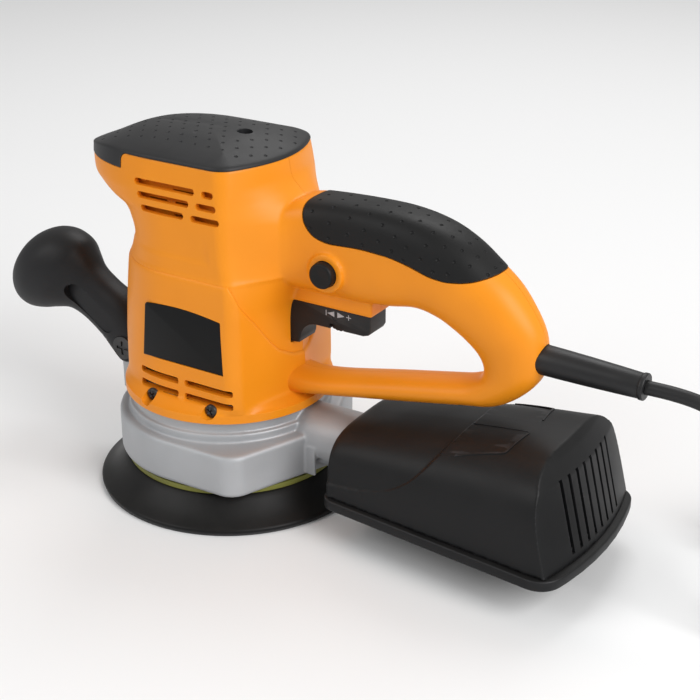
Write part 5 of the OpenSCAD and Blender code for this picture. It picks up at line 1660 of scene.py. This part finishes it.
def placeScrews(name, plan, places):
    first = panScrew(plan)
    screwsMade = []
    for place, turn in places:
        screw = copyOf(first, name)
        screw.location = Vector(place) * mm
        screw.rotation_euler.x = math.radians(turn)
        screwsMade.append(screw)
    drop(first)
    return dress(settle(joined(name, screwsMade)), "blackScrew")


baseAt = [((x, side * seats["floor"], z), -90 * side) for x, z in seats["screws"] for side in (-1, 1)]
hand(placeScrews("foot_screws", screws["base"], baseAt), "machine", "screw_black", "base_screws")
caseAt = [((x, 6, z), -90) for x, z in screws["case"]["places"]]
hand(placeScrews("shell_screws", screws["case"], caseAt), "machine", "screw_black", "case_screws")
capAt = [((x, 0, capSeat(x)), 0) for x in cap["screws"]]
hand(placeScrews("cover_screws", screws["cap"], capAt), "machine", "screw_black", "cap_screws")
print("screws done")

# ---- strain relief, coil tie and plug on the cord

relief = {
    "start": 182, "length": 56.5, "tilt": 1.5, "bore": 3.55,
    # start and end from the boot, and radius, of the root and of its flange
    "root": (-9, 3, 5.4), "flange": (-5.9, -2.1, 8),
    # distance along the boot and its radius
    "outline": [(0, 7.3), (0.5, 7.5), (14, 7.35), (28, 7.05), (42, 6.6), (53.6, 6.15), (53.9, 6.05),
                (54.2, 6.45), (54.6, 6.6), (56.1, 6.6), (56.5, 6.3)],
}


def makeRelief():
    inner = relief["bore"]
    profile = [(inner, 0)] + [(r, along) for along, r in relief["outline"]] + [(inner, relief["length"])]
    boot = turned("cable_boot", profile, steps=64)
    boot.rotation_euler.y = math.radians(90 + relief["tilt"])
    x, z = relief["start"], bootHeight
    boot.location = Vector((x, 0, z)) * mm
    settle(boot)
    low, high, radius = relief["root"]
    root = rod("root", (x + low, 0, z), (x + high, 0, z), radius, 48)
    low, high, radius = relief["flange"]
    carve(root, rod("flange", (x + low, 0, z), (x + high, 0, z), radius, 48), "UNION")
    carve(root, rod("bore", (x - 20, 0, z), (x + 10, 0, z), inner, 32))
    carve(boot, root, "UNION")
    shadeSoft(boot, 40)
    return dress(boot, "cordRubber")


coilTie = {"near": 24.8, "far": 55.2, "half": 4, "high": 15.2, "inside": 1.2, "turn": -135}


def makeTie():
    near, far, half, high = (coilTie[key] for key in ("near", "far", "half", "high"))
    tie = box("coil_strap", (near, -half, 0), (far, half, high), 0.5)
    thin = coilTie["inside"]
    carve(tie, box("inside", (near + thin, -9, -3), (far - thin, 9, high - thin)))
    tie.rotation_euler.z = math.radians(coilTie["turn"])
    cx, cy = cord["coilCentre"]
    tie.location = (cx * mm, cy * mm, 0)
    settle(tie)
    shadeSoft(tie, 40)
    return dress(tie, "controlBlack")


plug = {
    "place": (300, 67, 14), "half": 17, "long": (-35, 9), "high": 24, "soft": 2.4,
    # place across and radius of the sockets that hold the pins
    "pins": 9.5, "socket": 2.4,
    # length behind the body and inside it, then radius at its free end and at the body
    "neck": (11, 3, 5, 8), "grooves": 3, "groovePitch": 3, "groove": (4.9, 0.7),
}


def makePlug():
    # a moulded two-pin plug, drawn with its pins towards +X, then turned round onto the coil
    x0, x1 = plug["long"]
    half, high = plug["half"], plug["high"]
    z = high / 2
    outline = [(x1, -half), (x1, half), (x0 + 9, half * 0.9), (x0, half * 0.5), (x0, -half * 0.5),
               (x0 + 9, -half * 0.9)]
    body = plate("plug_body", rounded(outline, 7, 8), 0, high)
    rounding(body, plug["soft"], 5)
    out, into, tip, wide = plug["neck"]
    carve(body, rod("neck", (x0 - out, 0, z), (x0 + into, 0, z), tip, 48, 0.5, wide), "UNION")
    core, step = plug["groove"]
    for i in range(plug["grooves"]):
        x = x0 - 8.5 + plug["groovePitch"] * i
        ring = rod("groove", (x, 0, z), (x + 1, 0, z), 12, 48)
        carve(ring, rod("core", (x - 1, 0, z), (x + 2, 0, z), core + step * i, 48))
        carve(body, ring)
    for y in (-plug["pins"], plug["pins"]):
        carve(body, rod("socket", (0, y, z), (20, y, z), plug["socket"], 32))
    body.rotation_euler.z = math.pi
    body.location = Vector(plug["place"]) * mm
    settle(body)
    shadeSoft(body, 40)
    return dress(body, "cordRubber")


boot, tie, plugBody = makeRelief(), makeTie(), makePlug()
hand(boot, "machine", "cord_rubber", "strain_relief")
hand(tie, "machine", "black_plastic", "coil_tie")
hand(plugBody, "machine", "cord_rubber", "mains_plug")
print("cord fittings done")

# ---- floor and lights

stage = {
    "floor": (0.86, 0.86, 0.86), "surround": 0.43,
    # place, power and size
    "lamps": [((1.5, -0.35, 1.05), 24, 1.0), ((-0.9, -1.3, 1.2), 9, 0.9), ((-0.2, 1.0, 1.5), 10, 0.9)],
    "aim": (0.05, 0, 0.1),
}


def makeFloor():
    bpy.ops.mesh.primitive_plane_add(size=20)
    floor = bpy.context.object
    floor.name = "studio_floor"
    material = bpy.data.materials.new("studio_paper")
    material.use_nodes = True
    shader = material.node_tree.nodes["Principled BSDF"]
    shader.inputs["Base Color"].default_value = stage["floor"] + (1,)
    shader.inputs["Roughness"].default_value = 0.9
    shader.inputs["Specular IOR Level"].default_value = 0.1
    floor.data.materials.append(material)


def makeLights():
    for at, power, size in stage["lamps"]:
        bpy.ops.object.light_add(type="AREA", location=at)
        lamp = bpy.context.object
        lamp.data.energy = power
        lamp.data.size = size
        lamp.rotation_euler = (Vector(stage["aim"]) - Vector(at)).to_track_quat("-Z", "Y").to_euler()


def makeWorld():
    # even light all round
    world = bpy.data.worlds.new("studio")
    bpy.context.scene.world = world
    world.use_nodes = True
    back = world.node_tree.nodes["Background"]
    back.inputs["Color"].default_value = (1, 1, 1, 1)
    back.inputs["Strength"].default_value = stage["surround"]


makeFloor()
makeLights()
makeWorld()
bpy.context.scene.view_settings.view_transform = "Standard"
print("stage set")
